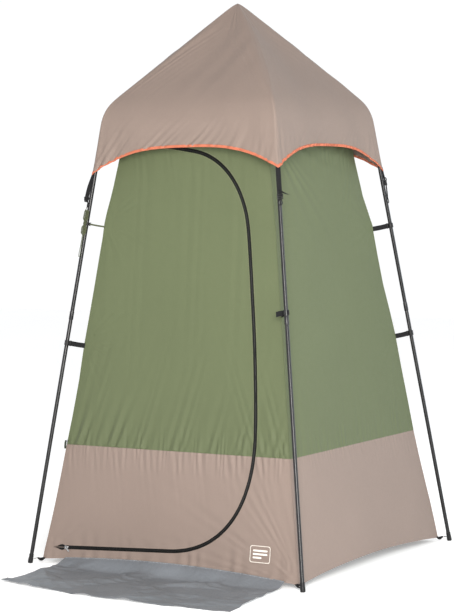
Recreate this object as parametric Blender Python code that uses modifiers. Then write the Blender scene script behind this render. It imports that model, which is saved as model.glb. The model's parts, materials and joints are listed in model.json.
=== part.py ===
"""A privacy shower tent: a square booth of four fabric walls hung inside a splayed steel pole frame,
under a pyramid canopy with a scalloped valance.  Metres, +Z up, the door faces -Y."""

import math

import bmesh
import bpy
from mathutils import Matrix, Vector

# Driving dimensions -------------------------------------------------------------------------------------
FOOT_HALF_SPAN = 0.600      # tent axis to a foot's centre, along X and along Y
LEG_LEAN = 0.1319           # how far a leg moves inward along X (and Y) per metre of height
JOINT_HEIGHT = 0.930        # where the lower leg plugs into the upper leg
SHOULDER_HEIGHT = 1.705     # where the axes of leg and roof pole cross
HUB_HEIGHT = 2.118          # centre of the hub that the roof poles meet in
TENT_SETBACK = 0.2097       # the tent's axis stands behind the middle of the whole object, flap included

POLE_RADIUS = 0.0075
BORE_RADIUS = 0.0063
SPIGOT_RADIUS = 0.0060
SPIGOT_LENGTH = 0.040
BEND_RADIUS = 0.100
UPPER_POLE_TAIL = 0.085     # straight length of the bent upper leg past the shoulder's axis crossing
GAP = 0.0003                # clearance between touching pieces

WALL_HALF_AT_GROUND = 0.566
WALL_LEAN = 0.1465
SEAM_HEIGHT = 0.4525        # where the taupe lower walls meet the green upper walls
HEM_CORNER_HEIGHT = 0.014
HEM_RISE = 0.027
WALL_TOP_CORNER = 1.765
WALL_TOP_MIDDLE = 1.803
CLOTH = 0.003               # thickness of a fabric panel's solid
CORNER_TRIM = 0.0026        # how far a wall panel stops short of the wall it meets

DOOR_HINGE_INSET = 0.040
DOOR_GAP = 0.0010
ZIP_BAND = 0.0070           # width of one half of the zip
ZIP_THICK = 0.0024
SLIDER_X = -0.455

CANOPY_HEM_CORNER = 1.485
SCALLOP_RISE = 0.080
SCALLOP_POWER = 3.0

FLAP_REACH = 1.0300         # tent axis to the flap's outermost edge
FLAP_HINGE_Y = -0.5660
FLAP_HINGE_Z = 0.0340

WALL_SLOPE = math.sqrt(1 + WALL_LEAN ** 2)
LEG_SLOPE = math.sqrt(1 + 2 * LEG_LEAN ** 2)
SHOULDER_HALF = FOOT_HALF_SPAN - LEG_LEAN * SHOULDER_HEIGHT

CORNERS = {"front_left": (-1, -1), "front_right": (1, -1), "back_right": (1, 1), "back_left": (-1, 1)}
SIDES = {"front": 0, "right": 1, "back": 2, "left": 3}

COLOURS = {
    "canopy_cloth": ((0.36, 0.29, 0.25), 0.85, 0.0),
    "green_cloth": ((0.21, 0.25, 0.14), 0.85, 0.0),
    "taupe_cloth": ((0.39, 0.31, 0.27), 0.85, 0.0),
    "orange_binding": ((0.75, 0.22, 0.10), 0.75, 0.0),
    "pole_steel": ((0.035, 0.035, 0.038), 0.30, 0.6),
    "black_plastic": ((0.02, 0.02, 0.022), 0.45, 0.0),
    "webbing": ((0.018, 0.018, 0.018), 0.80, 0.0),
    "zip_black": ((0.015, 0.014, 0.014), 0.55, 0.0),
    "bright_steel": ((0.62, 0.62, 0.62), 0.25, 1.0),
    "flap_sheet": ((0.20, 0.21, 0.22), 0.45, 0.0),
    "label_cloth": ((0.72, 0.66, 0.60), 0.80, 0.0),
    "olive_cord": ((0.10, 0.11, 0.06), 0.85, 0.0),
}


# Scene and helpers --------------------------------------------------------------------------------------
def clear_scene():
    for obj in list(bpy.data.objects):
        bpy.data.objects.remove(obj, do_unlink=True)


def new_collection(name):
    collection = bpy.data.collections.new(name)
    bpy.context.scene.collection.children.link(collection)
    return collection


def make_material(name):
    colour, roughness, metallic = COLOURS[name]
    material = bpy.data.materials.new(name)
    material.use_nodes = True
    shader = material.node_tree.nodes["Principled BSDF"]
    shader.inputs["Base Color"].default_value = (*colour, 1.0)
    shader.inputs["Roughness"].default_value = roughness
    shader.inputs["Metallic"].default_value = metallic
    return material


clear_scene()
PARTS = new_collection("privacy_shower_tent")
CUTTERS = new_collection("cutters")
MATERIALS = {name: make_material(name) for name in COLOURS}


def add_empty(name, location, parent=None):
    empty = bpy.data.objects.new(name, None)
    empty.empty_display_size = 0.05
    empty.location = location
    empty.parent = parent
    PARTS.objects.link(empty)
    return empty


TENT_AXIS = add_empty("tent_axis", (0, TENT_SETBACK, 0))


def place(obj, matrix, material, parent=TENT_AXIS, collection=PARTS):
    """Give a new object its material and its place, measured from the tent's axis."""
    obj.data.materials.append(MATERIALS[material])
    collection.objects.link(obj)
    obj.parent = parent
    offset = Matrix.Identity(4)
    if parent is not TENT_AXIS:
        offset = Matrix.Translation(-parent.location)
    obj.matrix_basis = offset @ matrix
    return obj


def hide_cutter(obj):
    obj.hide_render = True
    obj.display_type = "WIRE"


def basis(x_axis, y_axis, z_axis, origin):
    matrix = Matrix((x_axis, y_axis, z_axis)).transposed().to_4x4()
    matrix.translation = origin
    return matrix


def arc(centre, radius, start_deg, end_deg, steps):
    points = []
    for i in range(steps + 1):
        angle = math.radians(start_deg + (end_deg - start_deg) * i / steps)
        points.append((centre[0] + radius * math.cos(angle), centre[1] + radius * math.sin(angle)))
    return points


def flat_piece(name, loops, half_thickness, matrix, material, parent=TENT_AXIS):
    """A flat outline, with any holes as further loops, given a thickness."""
    curve = bpy.data.curves.new(name, "CURVE")
    curve.dimensions = "2D"
    curve.fill_mode = "BOTH"
    curve.extrude = half_thickness
    for loop in loops:
        spline = curve.splines.new("POLY")
        spline.points.add(len(loop) - 1)
        for point, (x, y) in zip(spline.points, loop):
            point.co = (x, y, 0, 1)
        spline.use_cyclic_u = True
    return place(bpy.data.objects.new(name, curve), matrix, material, parent)


def round_wire(name, points, radius, material, cyclic=False, capped=True, parent=TENT_AXIS,
               collection=PARTS, resolution=2):
    curve = bpy.data.curves.new(name, "CURVE")
    curve.dimensions = "3D"
    curve.bevel_depth = radius
    curve.bevel_resolution = resolution
    curve.use_fill_caps = capped and not cyclic
    spline = curve.splines.new("POLY")
    spline.points.add(len(points) - 1)
    for point, co in zip(spline.points, points):
        point.co = (*co, 1)
    spline.use_cyclic_u = cyclic
    return place(bpy.data.objects.new(name, curve), Matrix.Identity(4), material, parent, collection)


def curve_to_mesh(obj):
    """Swap a curve object for a mesh object whose end caps are welded on."""
    bpy.context.view_layer.update()
    graph = bpy.context.evaluated_depsgraph_get()
    mesh = bpy.data.meshes.new_from_object(obj.evaluated_get(graph))
    work = bmesh.new()
    work.from_mesh(mesh)
    bmesh.ops.remove_doubles(work, verts=work.verts, dist=0.00001)
    work.to_mesh(mesh)
    work.free()
    name = obj.name
    swapped = bpy.data.objects.new(name + "_mesh", mesh)
    for collection in obj.users_collection:
        collection.objects.link(swapped)
    swapped.parent = obj.parent
    swapped.matrix_basis = obj.matrix_basis.copy()
    bpy.data.objects.remove(obj, do_unlink=True)
    swapped.name = name
    return swapped


def smooth(mesh, angle_deg=40):
    mesh.shade_smooth()
    mesh.set_sharp_from_angle(angle=math.radians(angle_deg))


def turned_mesh(name, profile, steps=16):
    """A solid of revolution about Z from (radius, height) points that start and end on the axis."""
    work = bmesh.new()
    verts = [work.verts.new((radius, 0, height)) for radius, height in profile]
    edges = [work.edges.new(pair) for pair in zip(verts, verts[1:])]
    bmesh.ops.spin(work, geom=verts + edges, axis=(0, 0, 1), cent=(0, 0, 0), angle=2 * math.pi,
                   steps=steps, use_merge=True)
    bmesh.ops.remove_doubles(work, verts=work.verts, dist=0.00001)
    bmesh.ops.recalc_face_normals(work, faces=work.faces)
    mesh = bpy.data.meshes.new(name)
    work.to_mesh(mesh)
    work.free()
    smooth(mesh)
    return mesh


def formed_sheet(name, across, down, shape, material, offset, matrix=None, parent=TENT_AXIS):
    """A sheet whose grid is laid by shape(u, v), u and v from 0 to 1, then given the cloth's thickness."""
    work = bmesh.new()
    bmesh.ops.create_grid(work, x_segments=across, y_segments=down, size=0.5)
    for vert in work.verts:
        vert.co = shape(vert.co.x + 0.5, vert.co.y + 0.5)
    mesh = bpy.data.meshes.new(name)
    work.to_mesh(mesh)
    work.free()
    smooth(mesh, 30)
    obj = place(bpy.data.objects.new(name, mesh), matrix or Matrix.Identity(4), material, parent)
    solidify = obj.modifiers.new("thickness", "SOLIDIFY")
    solidify.thickness = CLOTH
    solidify.offset = offset
    solidify.use_even_offset = True
    return obj


def join_shapes(base, extras, operation="UNION"):
    for extra in extras:
        hide_cutter(extra)
        boolean = base.modifiers.new(extra.name, "BOOLEAN")
        boolean.operation = operation
        boolean.object = extra


# Lines of the tent --------------------------------------------------------------------------------------
def leg_half(z):
    return FOOT_HALF_SPAN - LEG_LEAN * z


def wall_half(z):
    return WALL_HALF_AT_GROUND - WALL_LEAN * z


def leg_direction(sx, sy):
    return Vector((-sx * LEG_LEAN, -sy * LEG_LEAN, 1)).normalized()


def leg_frame(corner, z):
    """On the leg's axis at height z: +X in towards the booth, +Y across, +Z up along the leg."""
    sx, sy = CORNERS[corner]
    up = leg_direction(sx, sy)
    inward = Vector((-sx, -sy, 0)).normalized()
    inward = (inward - inward.dot(up) * up).normalized()
    origin = Vector((sx * leg_half(z), sy * leg_half(z), z))
    return basis(inward, up.cross(inward), up, origin)


def shoulder_point(corner):
    sx, sy = CORNERS[corner]
    return Vector((sx * SHOULDER_HALF, sy * SHOULDER_HALF, SHOULDER_HEIGHT))


def ridge_direction(corner):
    return (Vector((0, 0, HUB_HEIGHT)) - shoulder_point(corner)).normalized()


def wall_matrix(side, out=0.0):
    """A wall's own plane: +X to the right seen from outside, +Y up the slope, +Z outward."""
    up = Vector((0, WALL_LEAN, 1)).normalized()
    right = Vector((1, 0, 0))
    outward = right.cross(up)
    matrix = basis(right, up, outward, Vector((0, -WALL_HALF_AT_GROUND, 0)) + outward * out)
    return Matrix.Rotation(math.radians(90) * SIDES[side], 4, "Z") @ matrix


def on_wall(x, z):
    """A point of a wall, given by its height, in the wall's own plane."""
    return (x, z * WALL_SLOPE)


def hem_height(x):
    return HEM_CORNER_HEIGHT + HEM_RISE * (1 - (x / WALL_HALF_AT_GROUND) ** 2)


def hem_line(steps=12):
    reach = wall_half(HEM_CORNER_HEIGHT) - CORNER_TRIM
    xs = [-reach + 2 * reach * i / steps for i in range(steps + 1)]
    return [on_wall(x, hem_height(x)) for x in xs]


def edge_point(z, sign):
    return on_wall(sign * (wall_half(z) - CORNER_TRIM), z)


def bezier(start, handle_a, handle_b, end, steps):
    points = []
    for i in range(1, steps + 1):
        t = i / steps
        weights = ((1 - t) ** 3, 3 * t * (1 - t) ** 2, 3 * t * t * (1 - t), t ** 3)
        points.append(tuple(sum(w * p[k] for w, p in zip(weights, (start, handle_a, handle_b, end)))
                            for k in (0, 1)))
    return points


# The door's D: along the foot of the wall, round its lower corner, up its free side and over its top
DOOR_START_Z = 0.0625
DOOR_TOP_Z = 1.600
ZIP_RUN_END = (0.000, 0.088)
LOWER_TURN = ((0.235, 0.096), (0.353, 0.265), (0.348, 0.511))
FREE_SIDE = ((0.344, 0.700), (0.285, 1.160), (0.262, 1.281))
UPPER_TURN = ((0.243, 1.410), (0.150, 1.535), (0.015, 1.563))


def hinge_x(z):
    return -(wall_half(z) - DOOR_HINGE_INSET)


def door_line():
    """The zip's centre line as (x, z), from the hinge's foot round to the hinge's top."""
    start = (hinge_x(DOOR_START_Z), DOOR_START_Z)
    top = (hinge_x(DOOR_TOP_Z), DOOR_TOP_Z)
    points = [start, ZIP_RUN_END]
    points += bezier(ZIP_RUN_END, *LOWER_TURN, 12)
    points += bezier(LOWER_TURN[2], *FREE_SIDE, 5)
    points += bezier(FREE_SIDE[2], *UPPER_TURN, 8)
    points += bezier(UPPER_TURN[2], (-0.080, 1.580), (-0.180, DOOR_TOP_Z), top, 4)
    return [on_wall(x, z) for x, z in points]


def shifted(points, distance):
    """The line moved sideways: positive is to its left, into the door."""
    moved = []
    for i, (x, y) in enumerate(points):
        before = points[max(i - 1, 0)]
        after = points[min(i + 1, len(points) - 1)]
        run = Vector((after[0] - before[0], after[1] - before[1])).normalized()
        moved.append((x - run.y * distance, y + run.x * distance))
    return moved


def split_at_seam(points):
    """The stretches of the door's line below and above the colour seam."""
    seam = SEAM_HEIGHT * WALL_SLOPE
    for i, (first, second) in enumerate(zip(points, points[1:])):
        if first[1] < seam <= second[1]:
            share = (seam - first[1]) / (second[1] - first[1])
            x = first[0] + share * (second[0] - first[0])
            below = points[:i + 1] + [(x, seam - GAP)]
            above = [(x, seam + GAP)] + points[i + 1:]
            return below, above


# Pole frame ---------------------------------------------------------------------------------------------
def spigot_pole(length):
    """A straight pole whose top end is swaged down to plug into the next piece."""
    shoulder = length - SPIGOT_LENGTH
    chamfer = 0.0010
    return [
        (0, length),
        (SPIGOT_RADIUS - chamfer, length),
        (SPIGOT_RADIUS, length - chamfer),
        (SPIGOT_RADIUS, shoulder),
        (POLE_RADIUS, shoulder),
        (POLE_RADIUS, 0),
        (0, 0),
    ]


FOOT_CAP_HEIGHT = 0.034
FOOT_CAP_FLOOR = 0.009
FOOT_CAP_RADIUS = 0.0105


def foot_cap_mesh():
    bore = POLE_RADIUS + GAP
    mesh = turned_mesh("foot_cap", [
        (0, FOOT_CAP_FLOOR),
        (bore, FOOT_CAP_FLOOR),
        (bore, FOOT_CAP_HEIGHT),
        (FOOT_CAP_RADIUS - 0.001, FOOT_CAP_HEIGHT),
        (FOOT_CAP_RADIUS, FOOT_CAP_HEIGHT - 0.001),
        (FOOT_CAP_RADIUS, 0),
        (0, 0),
    ])
    # the sole is cut level with the ground: the leg's frame leans, so the cut slopes in the cap's own axes
    slant = math.sqrt(2) * LEG_LEAN
    for vert in mesh.vertices:
        if vert.co.z < 0.001:
            vert.co.z = vert.co.x * slant
    return mesh


def make_feet_and_lower_legs():
    cap_mesh = foot_cap_mesh()
    bottom = FOOT_CAP_FLOOR + GAP
    length = JOINT_HEIGHT * LEG_SLOPE - bottom + SPIGOT_LENGTH
    leg_mesh = turned_mesh("leg_lower", spigot_pole(length))
    for corner in CORNERS:
        frame = leg_frame(corner, 0)
        place(bpy.data.objects.new("foot_cap_" + corner, cap_mesh.copy()), frame, "black_plastic")
        lift = Matrix.Translation((0, 0, bottom))
        place(bpy.data.objects.new("leg_lower_" + corner, leg_mesh.copy()), frame @ lift, "pole_steel")


def bent_axis(corner):
    """The upper leg's axis: up the leg, round the shoulder bend, then along the roof ridge."""
    sx, sy = CORNERS[corner]
    up = leg_direction(sx, sy)
    along = ridge_direction(corner)
    vertex = shoulder_point(corner)
    half_turn = up.angle(along) / 2
    reach = BEND_RADIUS * math.tan(half_turn)
    points = [leg_frame(corner, JOINT_HEIGHT).translation + up * GAP, vertex - up * reach]
    normal = (along - up.dot(along) * up).normalized()
    centre = vertex - up * reach + normal * BEND_RADIUS
    steps = 8
    for i in range(1, steps + 1):
        angle = 2 * half_turn * i / steps
        points.append(centre + BEND_RADIUS * (up * math.sin(angle) - normal * math.cos(angle)))
    points.append(vertex + along * UPPER_POLE_TAIL)
    return points


def make_upper_legs():
    for corner in CORNERS:
        tube = round_wire("leg_upper_" + corner, bent_axis(corner), POLE_RADIUS, "pole_steel",
                          capped=False, resolution=4)
        tube = curve_to_mesh(tube)
        smooth(tube.data)
        wall = tube.modifiers.new("tube_wall", "SOLIDIFY")
        wall.thickness = POLE_RADIUS - BORE_RADIUS
        wall.offset = -1
        wall.use_even_offset = True


HUB_BALL_RADIUS = 0.0120
HUB_ARM_LENGTH = 0.058
HUB_ARM_RADIUS = 0.0076
HUB_BORE_RADIUS = 0.0053
HUB_BORE_START = 0.016
ROOF_SPIGOT_RADIUS = 0.0050


def make_roof_poles():
    """A roof pole plugs down into the bent leg with one end and up into the hub with the other."""
    for corner in CORNERS:
        along = ridge_direction(corner)
        foot = shoulder_point(corner) + along * (UPPER_POLE_TAIL + GAP)
        top = Vector((0, 0, HUB_HEIGHT)) - along * (HUB_ARM_LENGTH + GAP)
        length = (top - foot).length
        plug = SPIGOT_LENGTH - 0.002
        profile = [
            (0, length + plug),
            (ROOF_SPIGOT_RADIUS, length + plug),
            (ROOF_SPIGOT_RADIUS, length),
            (POLE_RADIUS, length),
            (POLE_RADIUS, 0),
            (SPIGOT_RADIUS, 0),
            (SPIGOT_RADIUS, -SPIGOT_LENGTH),
            (0, -SPIGOT_LENGTH),
        ]
        across = along.cross(Vector((0, 0, 1))).normalized()
        matrix = basis(across, along.cross(across), along, foot)
        mesh = turned_mesh("roof_pole", profile)
        place(bpy.data.objects.new("roof_pole_" + corner, mesh), matrix, "pole_steel")


def make_hub():
    centre = Vector((0, 0, HUB_HEIGHT))
    work = bmesh.new()
    bmesh.ops.create_uvsphere(work, u_segments=16, v_segments=10, radius=HUB_BALL_RADIUS)
    mesh = bpy.data.meshes.new("apex_hub")
    work.to_mesh(mesh)
    work.free()
    hub = place(bpy.data.objects.new("apex_hub", mesh), Matrix.Translation(centre), "black_plastic")
    arms = []
    bores = []
    for corner in CORNERS:
        along = ridge_direction(corner)
        arm = round_wire("hub_arm_" + corner, [centre - along * 0.002, centre - along * HUB_ARM_LENGTH],
                         HUB_ARM_RADIUS, "black_plastic", collection=CUTTERS, resolution=4)
        bore = round_wire("hub_bore_" + corner,
                          [centre - along * HUB_BORE_START, centre - along * (HUB_ARM_LENGTH + 0.01)],
                          HUB_BORE_RADIUS, "black_plastic", collection=CUTTERS, resolution=4)
        arms.append(curve_to_mesh(arm))
        bores.append(curve_to_mesh(bore))
    join_shapes(hub, arms)
    join_shapes(hub, bores, "DIFFERENCE")


# Canopy -------------------------------------------------------------------------------------------------
# The inside of the canopy along a corner, from the tip down the ridge, round the shoulder to the hem
CANOPY_CORNER = ((0.0010, 2.1360), (0.0120, 2.1300), (0.3430, 1.7690), (0.3675, 1.7350),
                 (0.3845, 1.6950), (0.3907, 1.6500), (0.4123, CANOPY_HEM_CORNER))
VALANCE_ROWS = 2            # rows of the corner line, counted from the hem, that follow the scallop


def scallop(share):
    """How high the hem stands above its corners, share of the way across a side."""
    return SCALLOP_RISE * (1 - abs(2 * share - 1) ** SCALLOP_POWER)


def make_canopy():
    last = len(CANOPY_CORNER) - 1
    slit = 0.0004

    def shape(u, v):
        row = round(v * last)
        half, z = CANOPY_CORNER[row]
        if row == last:
            lift = scallop(u)
            above_half, above_z = CANOPY_CORNER[row - 1]
            half += (above_half - half) * lift / (above_z - z)
            z += lift
        reach = half - slit
        return Vector((-reach + 2 * reach * u, -half, z))

    for side, turn in SIDES.items():
        matrix = Matrix.Rotation(math.radians(90) * turn, 4, "Z")
        formed_sheet("canopy_" + side, 12, last, shape, "canopy_cloth", -1, matrix)


def make_piping():
    radius = 0.0025
    hang = 0.0028           # how far its top stays below the hem, so that its mitred corners clear it
    half = CANOPY_CORNER[-1][0] + 0.0032
    steps = 12
    points = []
    for turn in range(4):
        spin = Matrix.Rotation(math.radians(90) * turn, 4, "Z")
        for i in range(steps):
            share = i / steps
            lean = LEG_LEAN * scallop(share)
            level = CANOPY_HEM_CORNER - radius - hang + scallop(share)
            reach = half - lean
            points.append(spin @ Vector((-reach + 2 * reach * share, -reach, level)))
    round_wire("canopy_piping", points, radius, "orange_binding", cyclic=True)


# Booth walls --------------------------------------------------------------------------------------------
WALL_TOP_FLAT = 0.215       # half width of the level stretch of a wall's top edge


def make_plain_walls():
    seam = SEAM_HEIGHT
    lower = hem_line() + [edge_point(seam - GAP, 1), edge_point(seam - GAP, -1)]
    upper = [
        edge_point(seam + GAP, -1),
        edge_point(seam + GAP, 1),
        edge_point(WALL_TOP_CORNER, 1),
        on_wall(WALL_TOP_FLAT, WALL_TOP_MIDDLE),
        on_wall(-WALL_TOP_FLAT, WALL_TOP_MIDDLE),
        edge_point(WALL_TOP_CORNER, -1),
    ]
    for side in ("right", "back", "left"):
        flat_piece(f"wall_{side}_lower", [lower], CLOTH / 2, wall_matrix(side), "taupe_cloth")
        flat_piece(f"wall_{side}_upper", [upper], CLOTH / 2, wall_matrix(side), "green_cloth")


def hinge_line_point(z, inset):
    """A point of the door's hinge line, moved by inset towards the door."""
    return on_wall(hinge_x(z) + inset, z)


def make_front_wall():
    seam = SEAM_HEIGHT
    outer_below, outer_above = split_at_seam(shifted(door_line(), -DOOR_GAP / 2))
    strip = -DOOR_GAP / 2
    lower = hem_line()
    lower += [edge_point(seam - GAP, 1)]
    lower += reversed(outer_below[1:])
    lower += [hinge_line_point(DOOR_START_Z - 0.0005, strip), hinge_line_point(seam - GAP, strip)]
    lower += [edge_point(seam - GAP, -1)]
    flat_piece("front_wall_lower", [lower], CLOTH / 2, wall_matrix("front"), "taupe_cloth")
    upper = [edge_point(seam + GAP, -1), hinge_line_point(seam + GAP, strip)]
    upper += [hinge_line_point(DOOR_TOP_Z + 0.0005, strip)]
    upper += reversed(outer_above[:-1])
    upper += [
        edge_point(seam + GAP, 1),
        edge_point(WALL_TOP_CORNER, 1),
        on_wall(WALL_TOP_FLAT, WALL_TOP_MIDDLE),
        on_wall(-WALL_TOP_FLAT, WALL_TOP_MIDDLE),
        edge_point(WALL_TOP_CORNER, -1),
    ]
    flat_piece("front_wall_upper", [upper], CLOTH / 2, wall_matrix("front"), "green_cloth")


def hinge_empty():
    """The door turns about the inside edge of the strip beside its left corner."""
    location = wall_matrix("front", -CLOTH / 2) @ Vector((*hinge_line_point(DOOR_START_Z, 0), 0))
    return add_empty("door_hinge", location, TENT_AXIS)


def make_door(hinge):
    seam = SEAM_HEIGHT
    inner_below, inner_above = split_at_seam(shifted(door_line(), DOOR_GAP / 2))
    strip = DOOR_GAP / 2
    lower = [hinge_line_point(DOOR_START_Z + 0.0008, strip)] + inner_below[1:]
    lower += [hinge_line_point(seam - GAP, strip)]
    upper = [hinge_line_point(seam + GAP, strip)] + inner_above[:-1]
    upper += [hinge_line_point(DOOR_TOP_Z - 0.0008, strip)]
    matrix = wall_matrix("front")
    flat_piece("door_lower", [lower], CLOTH / 2, matrix, "taupe_cloth", hinge)
    flat_piece("door_upper", [upper], CLOTH / 2, matrix, "green_cloth", hinge)


def make_zip(hinge):
    """Two tapes with their teeth, each lying on the outer face of the cloth that it is sewn to."""
    out = CLOTH / 2 + GAP + ZIP_THICK / 2
    line = door_line()
    line[0] = hinge_line_point(DOOR_START_Z + 0.0003, 0.003)
    line[-1] = hinge_line_point(DOOR_TOP_Z, 0.003)
    near = 0.0003
    frame_band = shifted(line, -near) + list(reversed(shifted(line, -ZIP_BAND)))
    door_band = shifted(line, near) + list(reversed(shifted(line, ZIP_BAND)))
    flat_piece("zip_tape_frame", [frame_band], ZIP_THICK / 2, wall_matrix("front", out), "zip_black")
    flat_piece("zip_tape_door", [door_band], ZIP_THICK / 2, wall_matrix("front", out), "zip_black", hinge)


# Zip slider and pull ------------------------------------------------------------------------------------
SLIDER_LENGTH = 0.016
SLIDER_WIDTH = 0.012
SLIDER_THICK = 0.0040
BAIL_RADIUS = 0.0034
BAIL_WIRE = 0.0007
PULL_ANGLE = -45.0          # the pull's rest direction, from the zip's run
PULL_LENGTH = 0.022
PULL_HALF_WIDTH = 0.0032
PULL_THICK = 0.0012


def zip_run_matrix(x, out):
    """On the zip's straight run at x: +X along the run away from the hinge, +Z outward."""
    start = Vector((*hinge_line_point(DOOR_START_Z, 0), 0))
    end = Vector((*on_wall(*ZIP_RUN_END), 0))
    share = (x - start.x) / (end.x - start.x)
    run = (end - start).normalized()
    local = basis(run, Vector((0, 0, 1)).cross(run), Vector((0, 0, 1)), start.lerp(end, share))
    return wall_matrix("front", out) @ local


def rounded_box(name, size, radius, matrix, material, parent):
    work = bmesh.new()
    bmesh.ops.create_cube(work, size=1.0)
    bmesh.ops.scale(work, verts=work.verts, vec=size)
    bmesh.ops.bevel(work, geom=work.edges[:], offset=radius, segments=2, affect="EDGES", profile=0.5)
    mesh = bpy.data.meshes.new(name)
    work.to_mesh(mesh)
    work.free()
    return place(bpy.data.objects.new(name, mesh), matrix, material, parent)


def make_slider():
    base_out = CLOTH / 2 + GAP + ZIP_THICK + GAP
    matrix = zip_run_matrix(SLIDER_X, base_out + SLIDER_THICK / 2)
    seat = add_empty("zip_slide", matrix.translation, TENT_AXIS)
    slider = rounded_box("zip_slider", (SLIDER_LENGTH, SLIDER_WIDTH, SLIDER_THICK), 0.0008, matrix,
                         "bright_steel", seat)
    turn = Matrix.Rotation(math.radians(PULL_ANGLE), 4, "Z")
    face = matrix @ turn @ Matrix.Translation((0, 0, SLIDER_THICK / 2))
    bail_points = []
    for x, z in arc((0, -0.0006), BAIL_RADIUS, 0, 180, 10):
        bail_points.append(face @ Vector((x, 0, z)))
    bail = curve_to_mesh(round_wire("slider_bail", bail_points, BAIL_WIRE, "bright_steel",
                                    collection=CUTTERS))
    join_shapes(slider, [bail])
    pivot = face @ Matrix.Translation((0, 0, GAP + PULL_THICK / 2))
    pull_hinge = add_empty("pull_hinge", pivot.translation, TENT_AXIS)
    w = PULL_HALF_WIDTH
    end_bar = 0.0005
    tip = PULL_LENGTH - w
    outline = [(-end_bar, w), (-end_bar, -w), (tip, -w)] + arc((tip, 0), w, -80, 80, 6) + [(tip, w)]
    hole = [(end_bar, -0.0019), (end_bar, 0.0019), (0.0055, 0.0019), (0.0055, -0.0019)]
    flat_piece("zip_pull", [outline, hole], PULL_THICK / 2, pivot, "bright_steel", pull_hinge)


# Ground flap --------------------------------------------------------------------------------------------
FLAP_LEFT = (-0.460, -0.470)        # x at the hinge, x at the outer edge
FLAP_RIGHT = (0.505, 0.550)
FLAP_CORNER_REACH = (0.950, 1.012)  # how far forward the outer corners lie, left and right
FLAP_DROP = 0.075                   # the flap comes down from the hem to the ground over this distance


def make_flap():
    hinge = add_empty("flap_hinge", (0, FLAP_HINGE_Y, FLAP_HINGE_Z), TENT_AXIS)
    rows = 6
    half = CLOTH / 2

    def shape(u, v):
        row = v * rows
        x_left = FLAP_LEFT[0] + (FLAP_LEFT[1] - FLAP_LEFT[0]) * v
        x_right = FLAP_RIGHT[0] + (FLAP_RIGHT[1] - FLAP_RIGHT[0]) * v
        corner = FLAP_CORNER_REACH[0] * (1 - u) + FLAP_CORNER_REACH[1] * u
        bulge = (FLAP_REACH - 0.5 * sum(FLAP_CORNER_REACH)) * math.sin(math.pi * u)
        reach = min(corner + bulge, FLAP_REACH)
        start = -FLAP_HINGE_Y
        drops = (0, 0.30, 0.65, 1.0)
        if row < 3.5:
            out = start + FLAP_DROP * drops[round(row)]
        else:
            out = start + FLAP_DROP + (reach - start - FLAP_DROP) * (row - 3) / (rows - 3)
        fall = min((out - start) / FLAP_DROP, 1.0)
        z = half + (FLAP_HINGE_Z - half) * (0.5 + 0.5 * math.cos(math.pi * fall))
        return Vector((x_left + (x_right - x_left) * u, -out, z))

    formed_sheet("ground_flap", 10, rows, shape, "flap_sheet", 0, parent=hinge)


# Straps, tabs and ground hardware -----------------------------------------------------------------------
CLIP_INNER = POLE_RADIUS + 0.0005
CLIP_OUTER = 0.0112
CLIP_MOUTH_DEG = 50
STRAP_HALF_THICK = 0.0011
STRAP_HALF_WIDTH = 0.0095
LEG_STRAPS = {
    "upper_front_left": ("front_left", 1.297),
    "lower_front_left": ("front_left", 0.842),
    "upper_back_right": ("back_right", 1.271),
    "lower_back_right": ("back_right", 0.842),
    "upper_back_left": ("back_left", 1.271),
    "lower_back_left": ("back_left", 0.842),
    "lower_front_right": ("front_right", 0.975),
}


def make_leg_straps():
    """Webbing from the booth's corner seam to a snap clip round the leg, cut as one plan outline."""
    for name, (corner, z) in LEG_STRAPS.items():
        reach = math.sqrt(2) * (leg_half(z) - wall_half(z)) - 0.0045
        neck = math.degrees(math.asin(STRAP_HALF_THICK / CLIP_OUTER))
        outline = arc((0, 0), CLIP_OUTER, neck, 180 - CLIP_MOUTH_DEG, 10)
        outline += arc((0, 0), CLIP_INNER, 180 - CLIP_MOUTH_DEG, CLIP_MOUTH_DEG - 180, 16)
        outline += arc((0, 0), CLIP_OUTER, CLIP_MOUTH_DEG - 180, -neck, 10)
        outline += [(reach, -STRAP_HALF_THICK), (reach, STRAP_HALF_THICK)]
        flat_piece("leg_strap_" + name, [outline], STRAP_HALF_WIDTH, leg_frame(corner, z), "webbing")


HEM_STRAP_TOP = 1.4735
HEM_STRAP_LENGTH = 0.100
HEM_STRAP_HALF_WIDTH = 0.009
RING_OUTER = 0.0115
RING_INNER = 0.0075


def outside_leg(corner, z, out):
    """Against the leg's outer side at height z: +X across the leg, +Y up along it, +Z inward."""
    frame = leg_frame(corner, z)
    inward, across, up = (frame.col[i].to_3d() for i in range(3))
    return basis(across, up, inward, frame.translation - inward * out)


def make_hem_straps():
    """Webbing down the leg's outer side from the canopy's corner, ending in a ring for a guy rope."""
    out = POLE_RADIUS + 0.0005 + STRAP_HALF_THICK
    w = HEM_STRAP_HALF_WIDTH
    for corner in CORNERS:
        centre = (0, -HEM_STRAP_LENGTH - RING_OUTER + 0.0015)
        start = math.degrees(math.acos(0.006 / RING_OUTER))
        outline = [(-w, 0), (-w, -HEM_STRAP_LENGTH + 0.008)]
        outline += arc(centre, RING_OUTER, 180 - start, 360 + start, 18)
        outline += [(w, -HEM_STRAP_LENGTH + 0.008), (w, 0)]
        hole = arc(centre, RING_INNER, 0, 345, 15)
        flat_piece("hem_strap_" + corner, [outline, hole], STRAP_HALF_THICK,
                   outside_leg(corner, HEM_STRAP_TOP, out), "webbing")


HANK_TOP = 1.347
HANK_LENGTH = 0.200
HANK_HALF_WIDTH = 0.0105
HANK_HALF_THICK = 0.0070
HANK_OUT = 0.0104           # from the leg's axis, away from the booth
HANK_ASIDE = 0.0160         # and forward, past the clip on the leg
HANK_TURN = 66.0            # the hank hangs nearly edge-on to the booth's corner


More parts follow.
